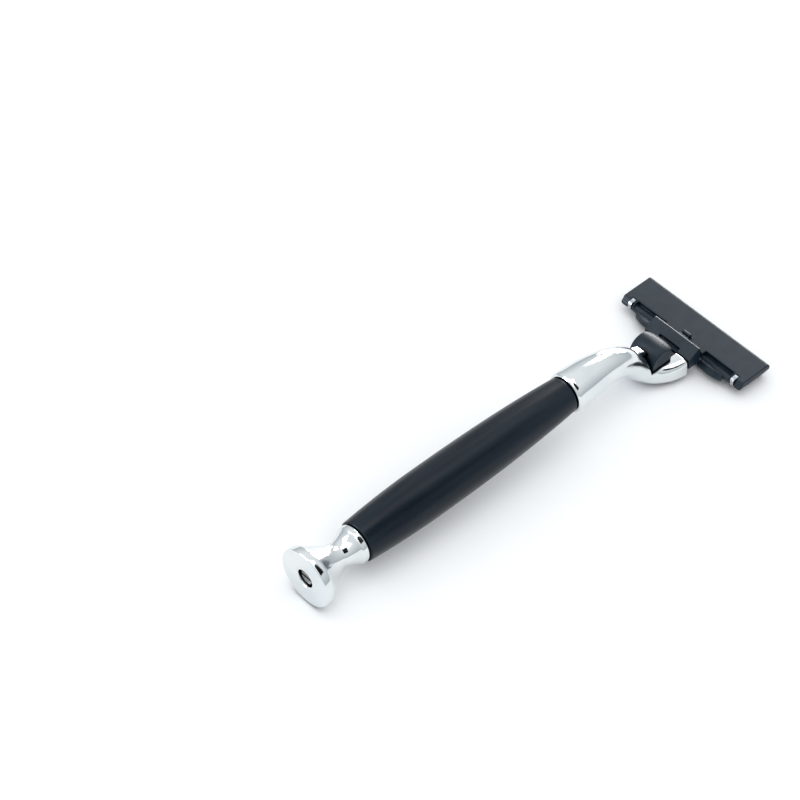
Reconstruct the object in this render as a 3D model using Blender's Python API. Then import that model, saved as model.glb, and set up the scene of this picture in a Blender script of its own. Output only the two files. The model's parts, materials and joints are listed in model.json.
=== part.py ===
"""A razor with a clip-on, pivoting three-blade cartridge, lying on its front.

Lengths below are in millimetres and are turned into metres where meshes are made. The razor is
modelled in the handle's own frame: x runs along the handle towards the blades and is 0 where the
grip meets the neck, z points out of the razor's back, and y is across it. One empty then pitches
the whole razor so that the end cap's rim and the cartridge's cap both touch the plane z = 0.
"""

from math import acos, atan2, cos, degrees, pi, radians, sin

import bpy
import bmesh
from mathutils import Matrix, Vector

MM = 0.001
GAP = 0.3
FINE_GAP = 0.2

# The grip: a barrel whose fullest point is nearer its butt
GRIP_LENGTH = 68.2
GRIP_FULL_X = -45.0
GRIP_FULL_RADIUS = 6.43
GRIP_BUTT_RADIUS = 5.45
GRIP_HEAD_RADIUS = 4.8
GRIP_BORE_RADIUS = 2.3
WASHER_RADIUS = 3.6
WASHER_THICKNESS = 0.8

# The tie rod and the end cap
ROD_RADIUS = 2.0
ROD_NECK_GRIP = 5.0
ROD_CAP_GRIP = 9.0
CAP_LENGTH = 16.4
CAP_COLLAR_RADIUS = 5.1
CAP_WAIST_RADIUS = 3.42
CAP_WAIST_X = 5.9
CAP_FACE_RADIUS = 8.0
CAP_RIM_LENGTH = 2.3
CAP_EDGE_ROUND = 0.35
CAP_RECESS_RADIUS = 2.45
CAP_RECESS_DEPTH = 2.0
CAP_SCREW_RADIUS = 1.1
CAP_SCREW_LENGTH = 10.0
CAP_SCREW_SINK = 0.7
CAP_SCREW_HEAD_RADIUS = 1.95

# The neck: centre line stations as (x, z, half width, half height, squareness)
NECK_STATIONS = (
    (0.3, 0.0, 5.15, 5.15, 2.0),
    (1.2, 0.0, 5.55, 5.55, 2.0),
    (3.4, 0.0, 5.5, 5.5, 2.0),
    (8.0, 0.0, 5.15, 5.15, 2.0),
    (12.0, -0.25, 4.7, 4.7, 2.0),
    (15.8, -1.1, 4.35, 4.25, 2.0),
    (19.4, -2.9, 4.1, 3.9, 2.0),
    (22.5, -5.3, 4.0, 3.6, 2.1),
    (25.4, -8.4, 4.5, 3.4, 2.3),
    (28.6, -11.1, 5.7, 3.1, 2.8),
    (32.5, -12.0, 7.1, 3.1, 4.0),
    (36.3, -12.0, 7.7, 3.1, 5.5),
)
NECK_SIDES = 28
NECK_SPAN_STEPS = 3

# The tub at the neck's end, its wall tops, and the tongue behind the button
TUB_FRONT = 36.3
TUB_BACK = 27.4
TUB_WALL_TOP = -9.1
TUB_FLOOR = -13.3
TUB_HALF_WIDTH = 3.5
TONGUE_HALF_WIDTH = 1.25
TONGUE_FRONT = 27.8
NOTCH_BACK = 26.45

# The docking nose, with an open channel for the plunger
NOSE_HALF_WIDTH = 3.2
NOSE_TOP = -9.6
NOSE_TIP = 39.4
NOSE_TIP_TOP = -10.1
CHANNEL_HALF_WIDTH = 1.8
CHANNEL_FLOOR = -11.2
PIN_X = 29.6
PIN_Z = -12.35
PIN_RADIUS = 0.6
PIN_HALF_LENGTH = 5.7
POST_BACK = 33.0
POST_FRONT = 33.6
POST_TOP = -6.7
POST_HALF_WIDTH = 0.8

# The release button: a dome on a flat sole, cut flat in front, with a slot at its back for the tongue
BUTTON_X = 31.1
BUTTON_Z = -8.1
BUTTON_RADIUS = 4.3
BUTTON_END_SHRINK = 0.13
BUTTON_FRONT = 34.5
BUTTON_CORNER = 0.9
BUTTON_HALF_WIDTH = 4.2
BUTTON_SOLE = -8.8
BUTTON_HOLLOW = (28.9, 33.8)
BUTTON_TRAVEL = 1.8
BUTTON_SPRING_X = (29.1, 32.8)
PLATE_X = (28.6, 34.4)
PLATE_HALF_WIDTH = 2.4

# The pivot of the blades, and the connector that carries them
PIVOT_X = 43.0
PIVOT_Z = -13.4
BEARING_IN = 2.0
BEARING_OUT = 3.1
BEARING_FROM = 125.0
BEARING_TO = 188.0
BEARING_Y = (7.0, 15.0)
BEARING_PEAK_Y = 11.5
BEARING_ROOT_DROP = 0.4
BEARING_TIP_DROP = 0.85
BLOCK_BACK = 36.6
BLOCK_FRONT = 40.6
BLOCK_HALF_WIDTH = 7.7
BLOCK_EDGE_BACK = -9.1
BLOCK_EDGE_FRONT = -7.2
BLOCK_UNDERSIDE = -12.1
BLOCK_DISH_FRONT = 37.7
BLOCK_DISH_HALF_WIDTH = 3.4
BLOCK_DISH_FLOOR = -9.4
KNUCKLE_FRONT = 41.1
KNUCKLE_TOP = -11.4
SOCKET_BOX_HALF_WIDTH = 4.5
SOCKET_BOX_BOTTOM = -14.2
SOCKET_HALF_WIDTH = 3.5
SOCKET_FLOOR = -13.5
SOCKET_ROOF = -9.8
SOCKET_FRONT = 39.7

# The plunger, which a cam on the housing pushes back as the blades turn
CAM_X = 43.8
CAM_Z = -10.5
CAM_RADIUS = 0.6
PLUNGER_HALF_WIDTH = 1.5
PLUNGER_TOP = -10.0
PLUNGER_BOTTOM = -11.0

# The housing: u runs across the shaving face from guard to cap, and depth goes into the housing
GUARD_X = 41.4
GUARD_Z = -13.4
CAP_EDGE_X = 51.35
CAP_EDGE_Z = -16.5
CAP_NOSE_HEIGHT = 1.0
HOUSING_HALF_LENGTH = 20.75
HOUSING_BACK = -11.3
HOUSING_TOP_X = 52.25
HOUSING_EDGE = 0.6
END_TAPER_TOP = -12.9
END_TAPER = 0.52
WINDOW_Y = (6.8, 16.7)
WINDOW_WALL = 0.75
FIN_SLOT_U = (0.35, 2.2)
FIN_SLOT_DEPTH = 0.8
POCKET_U = (2.6, 7.9)
POCKET_DEPTHS = (1.3, 2.2)
STRIP_SLOT_U = (8.3, 9.5)
STRIP_SLOT_DEPTH = 0.9
INSERT_CLEAR_OF_CLIP = 0.6
BLADE_PITCH = 1.5
BLADE_EDGE_U = 2.9
BLADE_HALF_LENGTH = 18.6
BLADE_WIDTH = 1.15
BLADE_THICKNESS = 0.15
BLADE_RAKE = radians(21.5)
BLADE_GROUND = 0.45
SUPPORT_LEG_DEPTH = 1.2
SUPPORT_SHEET = 0.25
CLIP_Y = (17.3, 18.4)
CLIP_THICKNESS = 0.3
CLIP_PROUD = 0.4
CLIP_END_U = 7.6
CLIP_TAIL_X = 43.4

FACE_TILT = atan2(GUARD_Z - CAP_EDGE_Z, CAP_EDGE_X - GUARD_X)
REAR_X = -GRIP_LENGTH - CAP_LENGTH
RIM = (REAR_X + CAP_EDGE_ROUND, -CAP_FACE_RADIUS)
PITCH = atan2(RIM[1] - CAP_EDGE_Z, CAP_EDGE_X - RIM[0])
REAR_POINT = (REAR_X, CAP_FACE_RADIUS - CAP_EDGE_ROUND)
FRONT_POINT = (HOUSING_TOP_X, CAP_EDGE_Z + CAP_NOSE_HEIGHT)
INSERT_HALF_LENGTH = CLIP_Y[0] - INSERT_CLEAR_OF_CLIP


def clear_scene():
    for item in list(bpy.data.objects):
        bpy.data.objects.remove(item, do_unlink=True)


def material(name, colour, roughness, metallic=0.0):
    made = bpy.data.materials.new(name)
    made.use_nodes = True
    shader = made.node_tree.nodes["Principled BSDF"]
    shader.inputs["Base Color"].default_value = (*colour, 1.0)
    shader.inputs["Roughness"].default_value = roughness
    shader.inputs["Metallic"].default_value = metallic
    return made


def empty(name, location, parent=None):
    made = bpy.data.objects.new(name, None)
    made.location = [value * MM for value in location]
    made.parent = parent
    bpy.context.collection.objects.link(made)
    return made


def finish_mesh(name, bm, surface, parent, origin=(0.0, 0.0, 0.0), smooth=True):
    """Turns a bmesh in the handle's frame into an object whose origin is the given point of it."""
    bmesh.ops.recalc_face_normals(bm, faces=bm.faces)
    shift = Matrix.Translation([-value for value in origin])
    bm.transform(Matrix.Scale(MM, 4) @ shift)
    mesh = bpy.data.meshes.new(name)
    bm.to_mesh(mesh)
    bm.free()
    made = bpy.data.objects.new(name, mesh)
    if surface:
        mesh.materials.append(surface)
    bpy.context.collection.objects.link(made)
    made.parent = parent
    parent_origin = Vector(parent.get("at", (0.0, 0.0, 0.0)))
    made.location = (Vector(origin) - parent_origin) * MM
    if smooth:
        mesh.shade_smooth()
        mesh.set_sharp_from_angle(angle=radians(35.0))
    return made


def turned(bm, outline, sides=40, axis_y=0.0, axis_z=0.0):
    """Adds a solid turned about an axis along x, from an outline of (x, radius) points."""
    rings = []
    for x, radius in outline:
        if radius < 1e-6:
            rings.append([bm.verts.new((x, axis_y, axis_z))])
            continue
        ring = []
        for step in range(sides):
            angle = 2.0 * pi * step / sides
            ring.append(bm.verts.new((x, axis_y + radius * cos(angle), axis_z + radius * sin(angle))))
        rings.append(ring)
    for first, second in zip(rings, rings[1:] + rings[:1]):
        join_rings(bm, first, second)


def join_rings(bm, first, second):
    """Bridges two rings of vertices, either of which may be a single point."""
    if len(first) == 1 and len(second) == 1:
        return
    count = max(len(first), len(second))
    for step in range(count):
        after = (step + 1) % count
        if len(first) == 1:
            bm.faces.new((first[0], second[step], second[after]))
        elif len(second) == 1:
            bm.faces.new((first[step], second[0], first[after]))
        else:
            bm.faces.new((first[step], second[step], second[after], first[after]))


def extruded(bm, outline, low_y, high_y):
    """Adds a prism along y from an outline of (x, z) points."""
    near = [bm.verts.new((x, low_y, z)) for x, z in outline]
    far = [bm.verts.new((x, high_y, z)) for x, z in outline]
    bm.faces.new(near)
    bm.faces.new(list(reversed(far)))
    for first, second in zip(range(len(near)), list(range(1, len(near))) + [0]):
        bm.faces.new((near[first], far[first], far[second], near[second]))


def block(bm, low, high):
    """Adds a box between two corners."""
    outline = [(low[0], low[2]), (high[0], low[2]), (high[0], high[2]), (low[0], high[2])]
    extruded(bm, outline, low[1], high[1])


def arc(centre, radius, from_degrees, to_degrees, steps):
    """Points (x, z) on an arc; angles run from +x towards +z."""
    points = []
    for step in range(steps + 1):
        angle = radians(from_degrees + (to_degrees - from_degrees) * step / steps)
        points.append((centre[0] + radius * cos(angle), centre[1] + radius * sin(angle)))
    return points


def cutter(name, bm, target, operation="DIFFERENCE"):
    """Hides a tool shape and applies it to the target as a Boolean modifier."""
    tool = finish_mesh(name, bm, None, target.parent, smooth=False)
    tool.hide_render = True
    tool.display_type = "WIRE"
    boolean = target.modifiers.new(name, "BOOLEAN")
    boolean.operation = operation
    boolean.object = tool
    boolean.solver = "EXACT"
    return tool


def face_point(u, depth):
    """A point (x, z) that lies u across the shaving face and the given depth into the housing."""
    x = GUARD_X + u * cos(FACE_TILT) + depth * sin(FACE_TILT)
    z = GUARD_Z - u * sin(FACE_TILT) + depth * cos(FACE_TILT)
    return x, z


def both_sides(low_y, high_y):
    """The same span of y on the left (+y) and on the right (-y), as (name, low, high)."""
    return (("left", low_y, high_y), ("right", -high_y, -low_y))


def pitched(x, z):
    """Where a point (x, z) of the handle's frame goes when the razor is pitched about the origin."""
    return x * cos(PITCH) - z * sin(PITCH), x * sin(PITCH) + z * cos(PITCH)


def grip_radius(x):
    if x < GRIP_FULL_X:
        along = (GRIP_FULL_X - x) / (GRIP_LENGTH + GRIP_FULL_X)
        return GRIP_FULL_RADIUS - (GRIP_FULL_RADIUS - GRIP_BUTT_RADIUS) * along**2
    along = (x - GRIP_FULL_X) / -GRIP_FULL_X
    return GRIP_FULL_RADIUS - (GRIP_FULL_RADIUS - GRIP_HEAD_RADIUS) * along**2.4


def make_grip(parent, resin):
    low, high = -GRIP_LENGTH, 0.0
    seat = WASHER_THICKNESS
    edge = 0.15
    outline = [(low, WASHER_RADIUS + GAP), (low, GRIP_BUTT_RADIUS - edge)]
    stations = 22
    for step in range(stations + 1):
        x = low + edge + (high - low - 2 * edge) * step / stations
        outline.append((x, grip_radius(x)))
    outline += [(high, GRIP_HEAD_RADIUS - edge), (high, WASHER_RADIUS + GAP)]
    outline += [(high - seat, WASHER_RADIUS + GAP), (high - seat, GRIP_BORE_RADIUS)]
    outline += [(low + seat, GRIP_BORE_RADIUS), (low + seat, WASHER_RADIUS + GAP)]
    bm = bmesh.new()
    turned(bm, outline, sides=36)
    return finish_mesh("grip", bm, resin, parent)


def make_washer(name, low_x, parent, fibre):
    outline = [
        (low_x, GRIP_BORE_RADIUS),
        (low_x, WASHER_RADIUS),
        (low_x + WASHER_THICKNESS, WASHER_RADIUS),
        (low_x + WASHER_THICKNESS, GRIP_BORE_RADIUS),
    ]
    bm = bmesh.new()
    turned(bm, outline, sides=24)
    return finish_mesh(name, bm, fibre, parent)


def make_tie_rod(parent, steel):
    low, high = -GRIP_LENGTH - ROD_CAP_GRIP, ROD_NECK_GRIP
    screw_bore = CAP_SCREW_RADIUS + GAP
    screw_tip = REAR_X + CAP_SCREW_SINK + CAP_SCREW_LENGTH
    outline = [
        (low, screw_bore),
        (low, ROD_RADIUS - 0.3),
        (low + 0.3, ROD_RADIUS),
        (high - 0.3, ROD_RADIUS),
        (high, ROD_RADIUS - 0.3),
        (high, 0.0),
        (screw_tip + GAP, 0.0),
        (screw_tip + GAP, screw_bore),
    ]
    bm = bmesh.new()
    turned(bm, outline, sides=20)
    return finish_mesh("tie_rod", bm, steel, parent)


def make_end_cap(parent, chrome):
    front = -GRIP_LENGTH - GAP
    waist = -GRIP_LENGTH - CAP_WAIST_X
    rim = REAR_X + CAP_RIM_LENGTH
    collar_edge = 0.2
    collar_back = front - 1.5
    outline = [(front, ROD_RADIUS + GAP), (front, CAP_COLLAR_RADIUS - collar_edge)]
    outline += [(front - collar_edge, CAP_COLLAR_RADIUS), (collar_back, CAP_COLLAR_RADIUS)]
    flare_start = collar_back - 0.5
    flare_rise = CAP_COLLAR_RADIUS - 0.35 - CAP_WAIST_RADIUS
    bell_rise = CAP_FACE_RADIUS - 0.15 - CAP_WAIST_RADIUS
    for step in range(7):
        share = step / 6
        x = flare_start + (waist - flare_start) * share
        outline.append((x, CAP_WAIST_RADIUS + flare_rise * (1.0 - share) ** 2))
    for step in range(1, 9):
        share = step / 8
        outline.append((waist + (rim - waist) * share, CAP_WAIST_RADIUS + bell_rise * share**1.35))
    outline += [(rim - CAP_EDGE_ROUND, CAP_FACE_RADIUS), (REAR_X + CAP_EDGE_ROUND, CAP_FACE_RADIUS)]
    outline += [(REAR_X, CAP_FACE_RADIUS - CAP_EDGE_ROUND)]
    outline += [(REAR_X, CAP_RECESS_RADIUS + 0.15), (REAR_X + 0.15, CAP_RECESS_RADIUS)]
    outline.append((REAR_X + CAP_RECESS_DEPTH, CAP_RECESS_RADIUS))
    outline.append((REAR_X + CAP_RECESS_DEPTH, CAP_SCREW_RADIUS + GAP))
    socket = -GRIP_LENGTH - ROD_CAP_GRIP - GAP
    outline += [(socket, CAP_SCREW_RADIUS + GAP), (socket, ROD_RADIUS + GAP)]
    bm = bmesh.new()
    turned(bm, outline, sides=44)
    return finish_mesh("end_cap", bm, chrome, parent)


def make_cap_screw(parent, steel):
    top = REAR_X + CAP_SCREW_SINK
    seat = REAR_X + CAP_RECESS_DEPTH - GAP
    head = CAP_SCREW_HEAD_RADIUS
    outline = [(top, 0.0), (top, head - 0.5), (top + 0.3, head), (seat, head), (seat, CAP_SCREW_RADIUS)]
    outline += [(top + CAP_SCREW_LENGTH - 0.3, CAP_SCREW_RADIUS), (top + CAP_SCREW_LENGTH, 0.0)]
    bm = bmesh.new()
    turned(bm, outline, sides=24)
    screw = finish_mesh("cap_screw", bm, steel, parent)
    slot = bmesh.new()
    block(slot, (top - 0.5, -head - 0.5, -0.3), (top + 0.45, head + 0.5, 0.3))
    cutter("screw_slot_cut", slot, screw)
    return screw


def neck_station(position):
    """Centre (x, z), half width, half height and squareness at a position along the stations."""
    index = min(int(position), len(NECK_STATIONS) - 2)
    share = position - index
    before = NECK_STATIONS[max(index - 1, 0)]
    start, end = NECK_STATIONS[index], NECK_STATIONS[index + 1]
    after = NECK_STATIONS[min(index + 2, len(NECK_STATIONS) - 1)]
    values = []
    for p0, p1, p2, p3 in zip(before, start, end, after):
        slope_1, slope_2 = (p2 - p0) / 2, (p3 - p1) / 2
        cubic = (2 * share**3 - 3 * share**2 + 1) * p1 + (share**3 - 2 * share**2 + share) * slope_1
        values.append(cubic + (3 * share**2 - 2 * share**3) * p2 + (share**3 - share**2) * slope_2)
    return values


def superellipse(angle, power):
    across = abs(cos(angle)) ** (2.0 / power) * (1 if cos(angle) >= 0 else -1)
    up = abs(sin(angle)) ** (2.0 / power) * (1 if sin(angle) >= 0 else -1)
    return across, up


def make_neck(parent, chrome):
    bm = bmesh.new()
    rings = []
    spans = len(NECK_STATIONS) - 1
    for step in range(spans * NECK_SPAN_STEPS + 1):
        position = step / NECK_SPAN_STEPS
        x, z, half_width, half_height, power = neck_station(position)
        ahead = neck_station(min(position + 0.05, spans))
        behind = neck_station(max(position - 0.05, 0))
        lean = atan2(ahead[1] - behind[1], ahead[0] - behind[0])
        ring = []
        for side in range(NECK_SIDES):
            across, up = superellipse(2.0 * pi * side / NECK_SIDES, power)
            rise = up * half_height
            ring.append(bm.verts.new((x - rise * sin(lean), across * half_width, z + rise * cos(lean))))
        rings.append(ring)
    for first, second in zip(rings, rings[1:]):
        join_rings(bm, first, second)
    bm.faces.new(rings[0])
    bm.faces.new(list(reversed(rings[-1])))
    neck = finish_mesh("neck", bm, chrome, parent)

    top = bmesh.new()
    inside = 0.2
    block(top, (TONGUE_FRONT - inside, -9.0, TUB_WALL_TOP), (TUB_FRONT + 3.0, 9.0, 3.0))
    cutter("neck_top_cut", top, neck)
    for name, low_y, high_y in both_sides(TONGUE_HALF_WIDTH - inside, 9.0):
        notch = bmesh.new()
        block(notch, (NOTCH_BACK, low_y, TUB_WALL_TOP), (TONGUE_FRONT + 1.0, high_y, 3.0))
        cutter("neck_notch_cut_" + name, notch, neck)
    tub = bmesh.new()
    block(tub, (TUB_BACK, -TUB_HALF_WIDTH, TUB_FLOOR), (TUB_FRONT + 3.0, TUB_HALF_WIDTH, 0.0))
    cutter("neck_tub_cut", tub, neck)
    rod_socket = bmesh.new()
    bore, bore_end = ROD_RADIUS + GAP, ROD_NECK_GRIP + GAP
    turned(rod_socket, [(-2.0, 0.0), (-2.0, bore), (bore_end, bore), (bore_end, 0.0)], 20)
    cutter("neck_rod_cut", rod_socket, neck)
    cutter("neck_pin_cut", pin_shape(PIN_RADIUS + GAP / 2, 9.0), neck)
    tongue = bmesh.new()
    foot = TUB_WALL_TOP - inside
    outline = [(24.2, foot), (TONGUE_FRONT, foot), (TONGUE_FRONT, -4.8), (27.5, -4.1)]
    outline += [(26.8, -3.4), (25.6, -2.8), (24.2, -2.3)]
    extruded(tongue, outline, -TONGUE_HALF_WIDTH, TONGUE_HALF_WIDTH)
    cutter("neck_tongue", tongue, neck, "UNION")
    return neck


def pin_shape(radius, half_length, sides=16):
    """A pin across the neck."""
    bm = bmesh.new()
    circle = arc((PIN_X, PIN_Z), radius, 0.0, 360.0 - 360.0 / sides, sides - 1)
    extruded(bm, circle, -half_length, half_length)
    return bm


def make_nose_pin(parent, chrome):
    return finish_mesh("nose_pin", pin_shape(PIN_RADIUS, PIN_HALF_LENGTH), chrome, parent)


def make_nose_insert(parent, black):
    back = TUB_BACK + GAP
    bottom = TUB_FLOOR + GAP
    step = BLOCK_BACK - 0.4
    outline = [(back, bottom), (NOSE_TIP - 0.8, bottom), (NOSE_TIP, bottom + 0.8), (NOSE_TIP, NOSE_TIP_TOP)]
    outline += [(step, NOSE_TIP_TOP), (step, NOSE_TOP), (back, NOSE_TOP)]
    bm = bmesh.new()
    extruded(bm, outline, -NOSE_HALF_WIDTH, NOSE_HALF_WIDTH)
    insert = finish_mesh("nose_insert", bm, black, parent)
    channel = bmesh.new()
    half = CHANNEL_HALF_WIDTH
    block(channel, (back + 0.9, -half, CHANNEL_FLOOR), (NOSE_TIP + 2.0, half, 0.0))
    cutter("nose_channel_cut", channel, insert)
    post = bmesh.new()
    block(post, (POST_BACK, -POST_HALF_WIDTH, NOSE_TOP - 0.25), (POST_FRONT, POST_HALF_WIDTH, POST_TOP))
    cutter("nose_post", post, insert, "UNION")
    bridge = bmesh.new()
    block(bridge, (POST_BACK - 0.4, -half - 0.6, NOSE_TOP - 0.3), (POST_FRONT + 0.4, half + 0.6, NOSE_TOP))
    cutter("nose_bridge", bridge, insert, "UNION")
    cutter("nose_pin_cut", pin_shape(PIN_RADIUS + GAP / 2, 9.0), insert)
    return insert


def make_plunger(parent, black, rest_tip):
    back = 33.4
    stem = 31.9
    top, bottom = PLUNGER_TOP, PLUNGER_BOTTOM
    middle = (top + bottom) / 2
    bm = bmesh.new()
    outline = [(back, bottom), (rest_tip - 0.3, bottom), (rest_tip, bottom + 0.3), (rest_tip, top - 0.3)]
    outline += [(rest_tip - 0.3, top), (back, top)]
    extruded(bm, outline, -PLUNGER_HALF_WIDTH, PLUNGER_HALF_WIDTH)
    plunger = finish_mesh("plunger", bm, black, parent)
    peg = bmesh.new()
    turned(peg, [(stem, 0.0), (stem, 0.2), (back + 0.4, 0.2), (back + 0.4, 0.0)], 8, 0.0, middle)
    cutter("plunger_peg", peg, plunger, "UNION")
    return plunger


def make_spring(name, parent, steel, low_x, high_x, centre_z, coil_radius, wire_radius, turns):
    """A helix of round wire along x with flat-cut ends."""
    bm = bmesh.new()
    steps_per_turn, wire_sides = 10, 5
    rings = []
    for step in range(turns * steps_per_turn + 1):
        angle = 2.0 * pi * step / steps_per_turn
        x = low_x + wire_radius + (high_x - low_x - 2 * wire_radius) * step / (turns * steps_per_turn)
        ring = []
        for side in range(wire_sides):
            around = 2.0 * pi * side / wire_sides
            out = coil_radius + wire_radius * cos(around)
            place = (x + wire_radius * sin(around), out * cos(angle), centre_z + out * sin(angle))
            ring.append(bm.verts.new(place))
        rings.append(ring)
    for first, second in zip(rings, rings[1:]):
        join_rings(bm, first, second)
    bm.faces.new(rings[0])
    bm.faces.new(list(reversed(rings[-1])))
    return finish_mesh(name, bm, steel, parent)


def make_release_button(parent, black):
    sections = 12
    bm = bmesh.new()
    rings = []
    for step in range(sections + 1):
        across = -1.0 + 2.0 * step / sections
        radius = BUTTON_RADIUS * (1.0 - BUTTON_END_SHRINK * abs(across) ** 3)
        front = BUTTON_FRONT - BUTTON_CORNER * across**6
        front_angle = degrees(acos((front - BUTTON_X) / radius))
        outline = [(BUTTON_X - radius, BUTTON_SOLE), (front, BUTTON_SOLE)]
        outline += arc((BUTTON_X, BUTTON_Z), radius, front_angle, 180.0, 14)
        rings.append([bm.verts.new((x, across * BUTTON_HALF_WIDTH, z)) for x, z in outline])
    for first, second in zip(rings, rings[1:]):
        join_rings(bm, first, second)
    bm.faces.new(rings[0])
    bm.faces.new(list(reversed(rings[-1])))
    button = finish_mesh("release_button", bm, black, parent)

    hollow = bmesh.new()
    low_x, high_x = BUTTON_HOLLOW
    half = TONGUE_HALF_WIDTH + GAP
    shoulder, crown = BUTTON_Z + 1.8, BUTTON_Z + 2.8
    outline = [(low_x, BUTTON_SOLE - 1.0), (high_x, BUTTON_SOLE - 1.0), (high_x, shoulder)]
    outline += [(BUTTON_X, crown), (low_x, shoulder)]
    extruded(hollow, outline, -half, half)
    cutter("button_hollow_cut", hollow, button)
    slot = bmesh.new()
    block(slot, (TONGUE_FRONT - 4.0, -half, BUTTON_SOLE - 1.0), (TONGUE_FRONT + GAP, half, 0.0))
    cutter("button_slot_cut", slot, button)
    return button


def make_ejector_plate(parent, black):
    low, high = NOSE_TOP + 0.2, BUTTON_SOLE - 0.15
    bm = bmesh.new()
    block(bm, (PLATE_X[0], -PLATE_HALF_WIDTH, low), (PLATE_X[1], PLATE_HALF_WIDTH, high))
    plate = finish_mesh("ejector_plate", bm, black, parent)
    slot = bmesh.new()
    slot_back, slot_front = POST_BACK - BUTTON_TRAVEL - 0.2, POST_FRONT + 0.25
    slot_half_width = POST_HALF_WIDTH + GAP
    block(slot, (slot_back, -slot_half_width, low - 1.0), (slot_front, slot_half_width, high + 1.0))
    cutter("ejector_slot_cut", slot, plate)
    return plate


def bearing_shape(low_y, high_y):
    """A curved arm round the pivot, fullest at its middle and thin at its tip."""
    pivot = (PIVOT_X, PIVOT_Z)
    inner = arc(pivot, BEARING_IN, BEARING_TO, BEARING_FROM, 10)
    stations = 8
    bm = bmesh.new()
    rings = []
    for step in range(stations + 1):
        y = low_y + (high_y - low_y) * step / stations
        beyond = abs(y) - BEARING_PEAK_Y
        if beyond < 0.0:
            share, drop = beyond / (BEARING_PEAK_Y - BEARING_Y[0]), BEARING_ROOT_DROP
        else:
            share, drop = beyond / (BEARING_Y[1] - BEARING_PEAK_Y), BEARING_TIP_DROP
        outer = arc(pivot, BEARING_OUT - drop * share**2, BEARING_FROM, BEARING_TO, 10)
        rings.append([bm.verts.new((x, y, z)) for x, z in outer + inner])
    for first, second in zip(rings, rings[1:]):
        join_rings(bm, first, second)
    bm.faces.new(rings[0])
    bm.faces.new(list(reversed(rings[-1])))
    return bm


def make_connector(parent, black):
    """A slab with a sloping back, a socket box under it for the nose, and an arm on each side."""
    bm = bmesh.new()
    outline = [
        (BLOCK_BACK, BLOCK_UNDERSIDE),
        (BLOCK_FRONT, BLOCK_UNDERSIDE),
        (BLOCK_FRONT, BLOCK_EDGE_FRONT),
        (BLOCK_FRONT - 0.5, BLOCK_EDGE_FRONT),
        (BLOCK_BACK, BLOCK_EDGE_BACK),
    ]
    extruded(bm, outline, -BLOCK_HALF_WIDTH, BLOCK_HALF_WIDTH)
    connector = finish_mesh("connector", bm, black, parent)
    box = bmesh.new()
    foot = 0.6
    outline = [
        (BLOCK_BACK, SOCKET_BOX_BOTTOM + foot),
        (BLOCK_BACK + foot, SOCKET_BOX_BOTTOM),
        (BLOCK_FRONT, SOCKET_BOX_BOTTOM),
        (BLOCK_FRONT, BLOCK_UNDERSIDE + 1.0),
        (BLOCK_BACK, BLOCK_UNDERSIDE + 1.0),
    ]
    extruded(box, outline, -SOCKET_BOX_HALF_WIDTH, SOCKET_BOX_HALF_WIDTH)
    cutter("connector_box", box, connector, "UNION")
    for name, low_y, high_y in both_sides(*BEARING_Y):
        cutter("connector_bearing_" + name, bearing_shape(low_y, high_y), connector, "UNION")
    for name, low_y, high_y in both_sides(BEARING_Y[0] - 0.05, BLOCK_HALF_WIDTH):
        knuckle = bmesh.new()
        block(knuckle, (BLOCK_FRONT - 0.5, low_y, BLOCK_UNDERSIDE), (KNUCKLE_FRONT, high_y, KNUCKLE_TOP))
        cutter("connector_knuckle_" + name, knuckle, connector, "UNION")
    dish = bmesh.new()
    half = BLOCK_DISH_HALF_WIDTH
    block(dish, (BLOCK_BACK - 1.0, -half, BLOCK_DISH_FLOOR), (BLOCK_DISH_FRONT, half, 0.0))
    cutter("connector_dish_cut", dish, connector)
    socket = bmesh.new()
    half = SOCKET_HALF_WIDTH
    block(socket, (BLOCK_BACK - 1.0, -half, SOCKET_FLOOR), (SOCKET_FRONT, half, SOCKET_ROOF))
    cutter("connector_socket_cut", socket, connector)
    window = bmesh.new()
    half = PLUNGER_HALF_WIDTH + GAP
    block(window, (SOCKET_FRONT - 0.5, -half, PLUNGER_BOTTOM - GAP), (BLOCK_FRONT + 1.0, half, SOCKET_ROOF))
    cutter("connector_window_cut", window, connector)
    return connector


def housing_outline():
    """The housing's section: a half-round guard bar, a step up to the back, and the cap."""
    points = arc((PIVOT_X, PIVOT_Z), PIVOT_X - GUARD_X, 180.0, 125.0, 4)
    points += [(PIVOT_X - 0.5, HOUSING_BACK), (HOUSING_TOP_X - HOUSING_EDGE, HOUSING_BACK)]
    points += [(HOUSING_TOP_X, HOUSING_BACK - HOUSING_EDGE), FRONT_POINT, (CAP_EDGE_X, CAP_EDGE_Z)]
    return points


def face_slot(low_u, high_u, low_depth, high_depth, half_length):
    """A cutter for a slot along the shaving face; its floor slopes from one depth to the other."""
    bm = bmesh.new()
    outline = [face_point(low_u, -1.0), face_point(high_u, -1.0)]
    outline += [face_point(high_u, high_depth), face_point(low_u, low_depth)]
    extruded(bm, outline, -half_length, half_length)
    return bm


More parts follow.
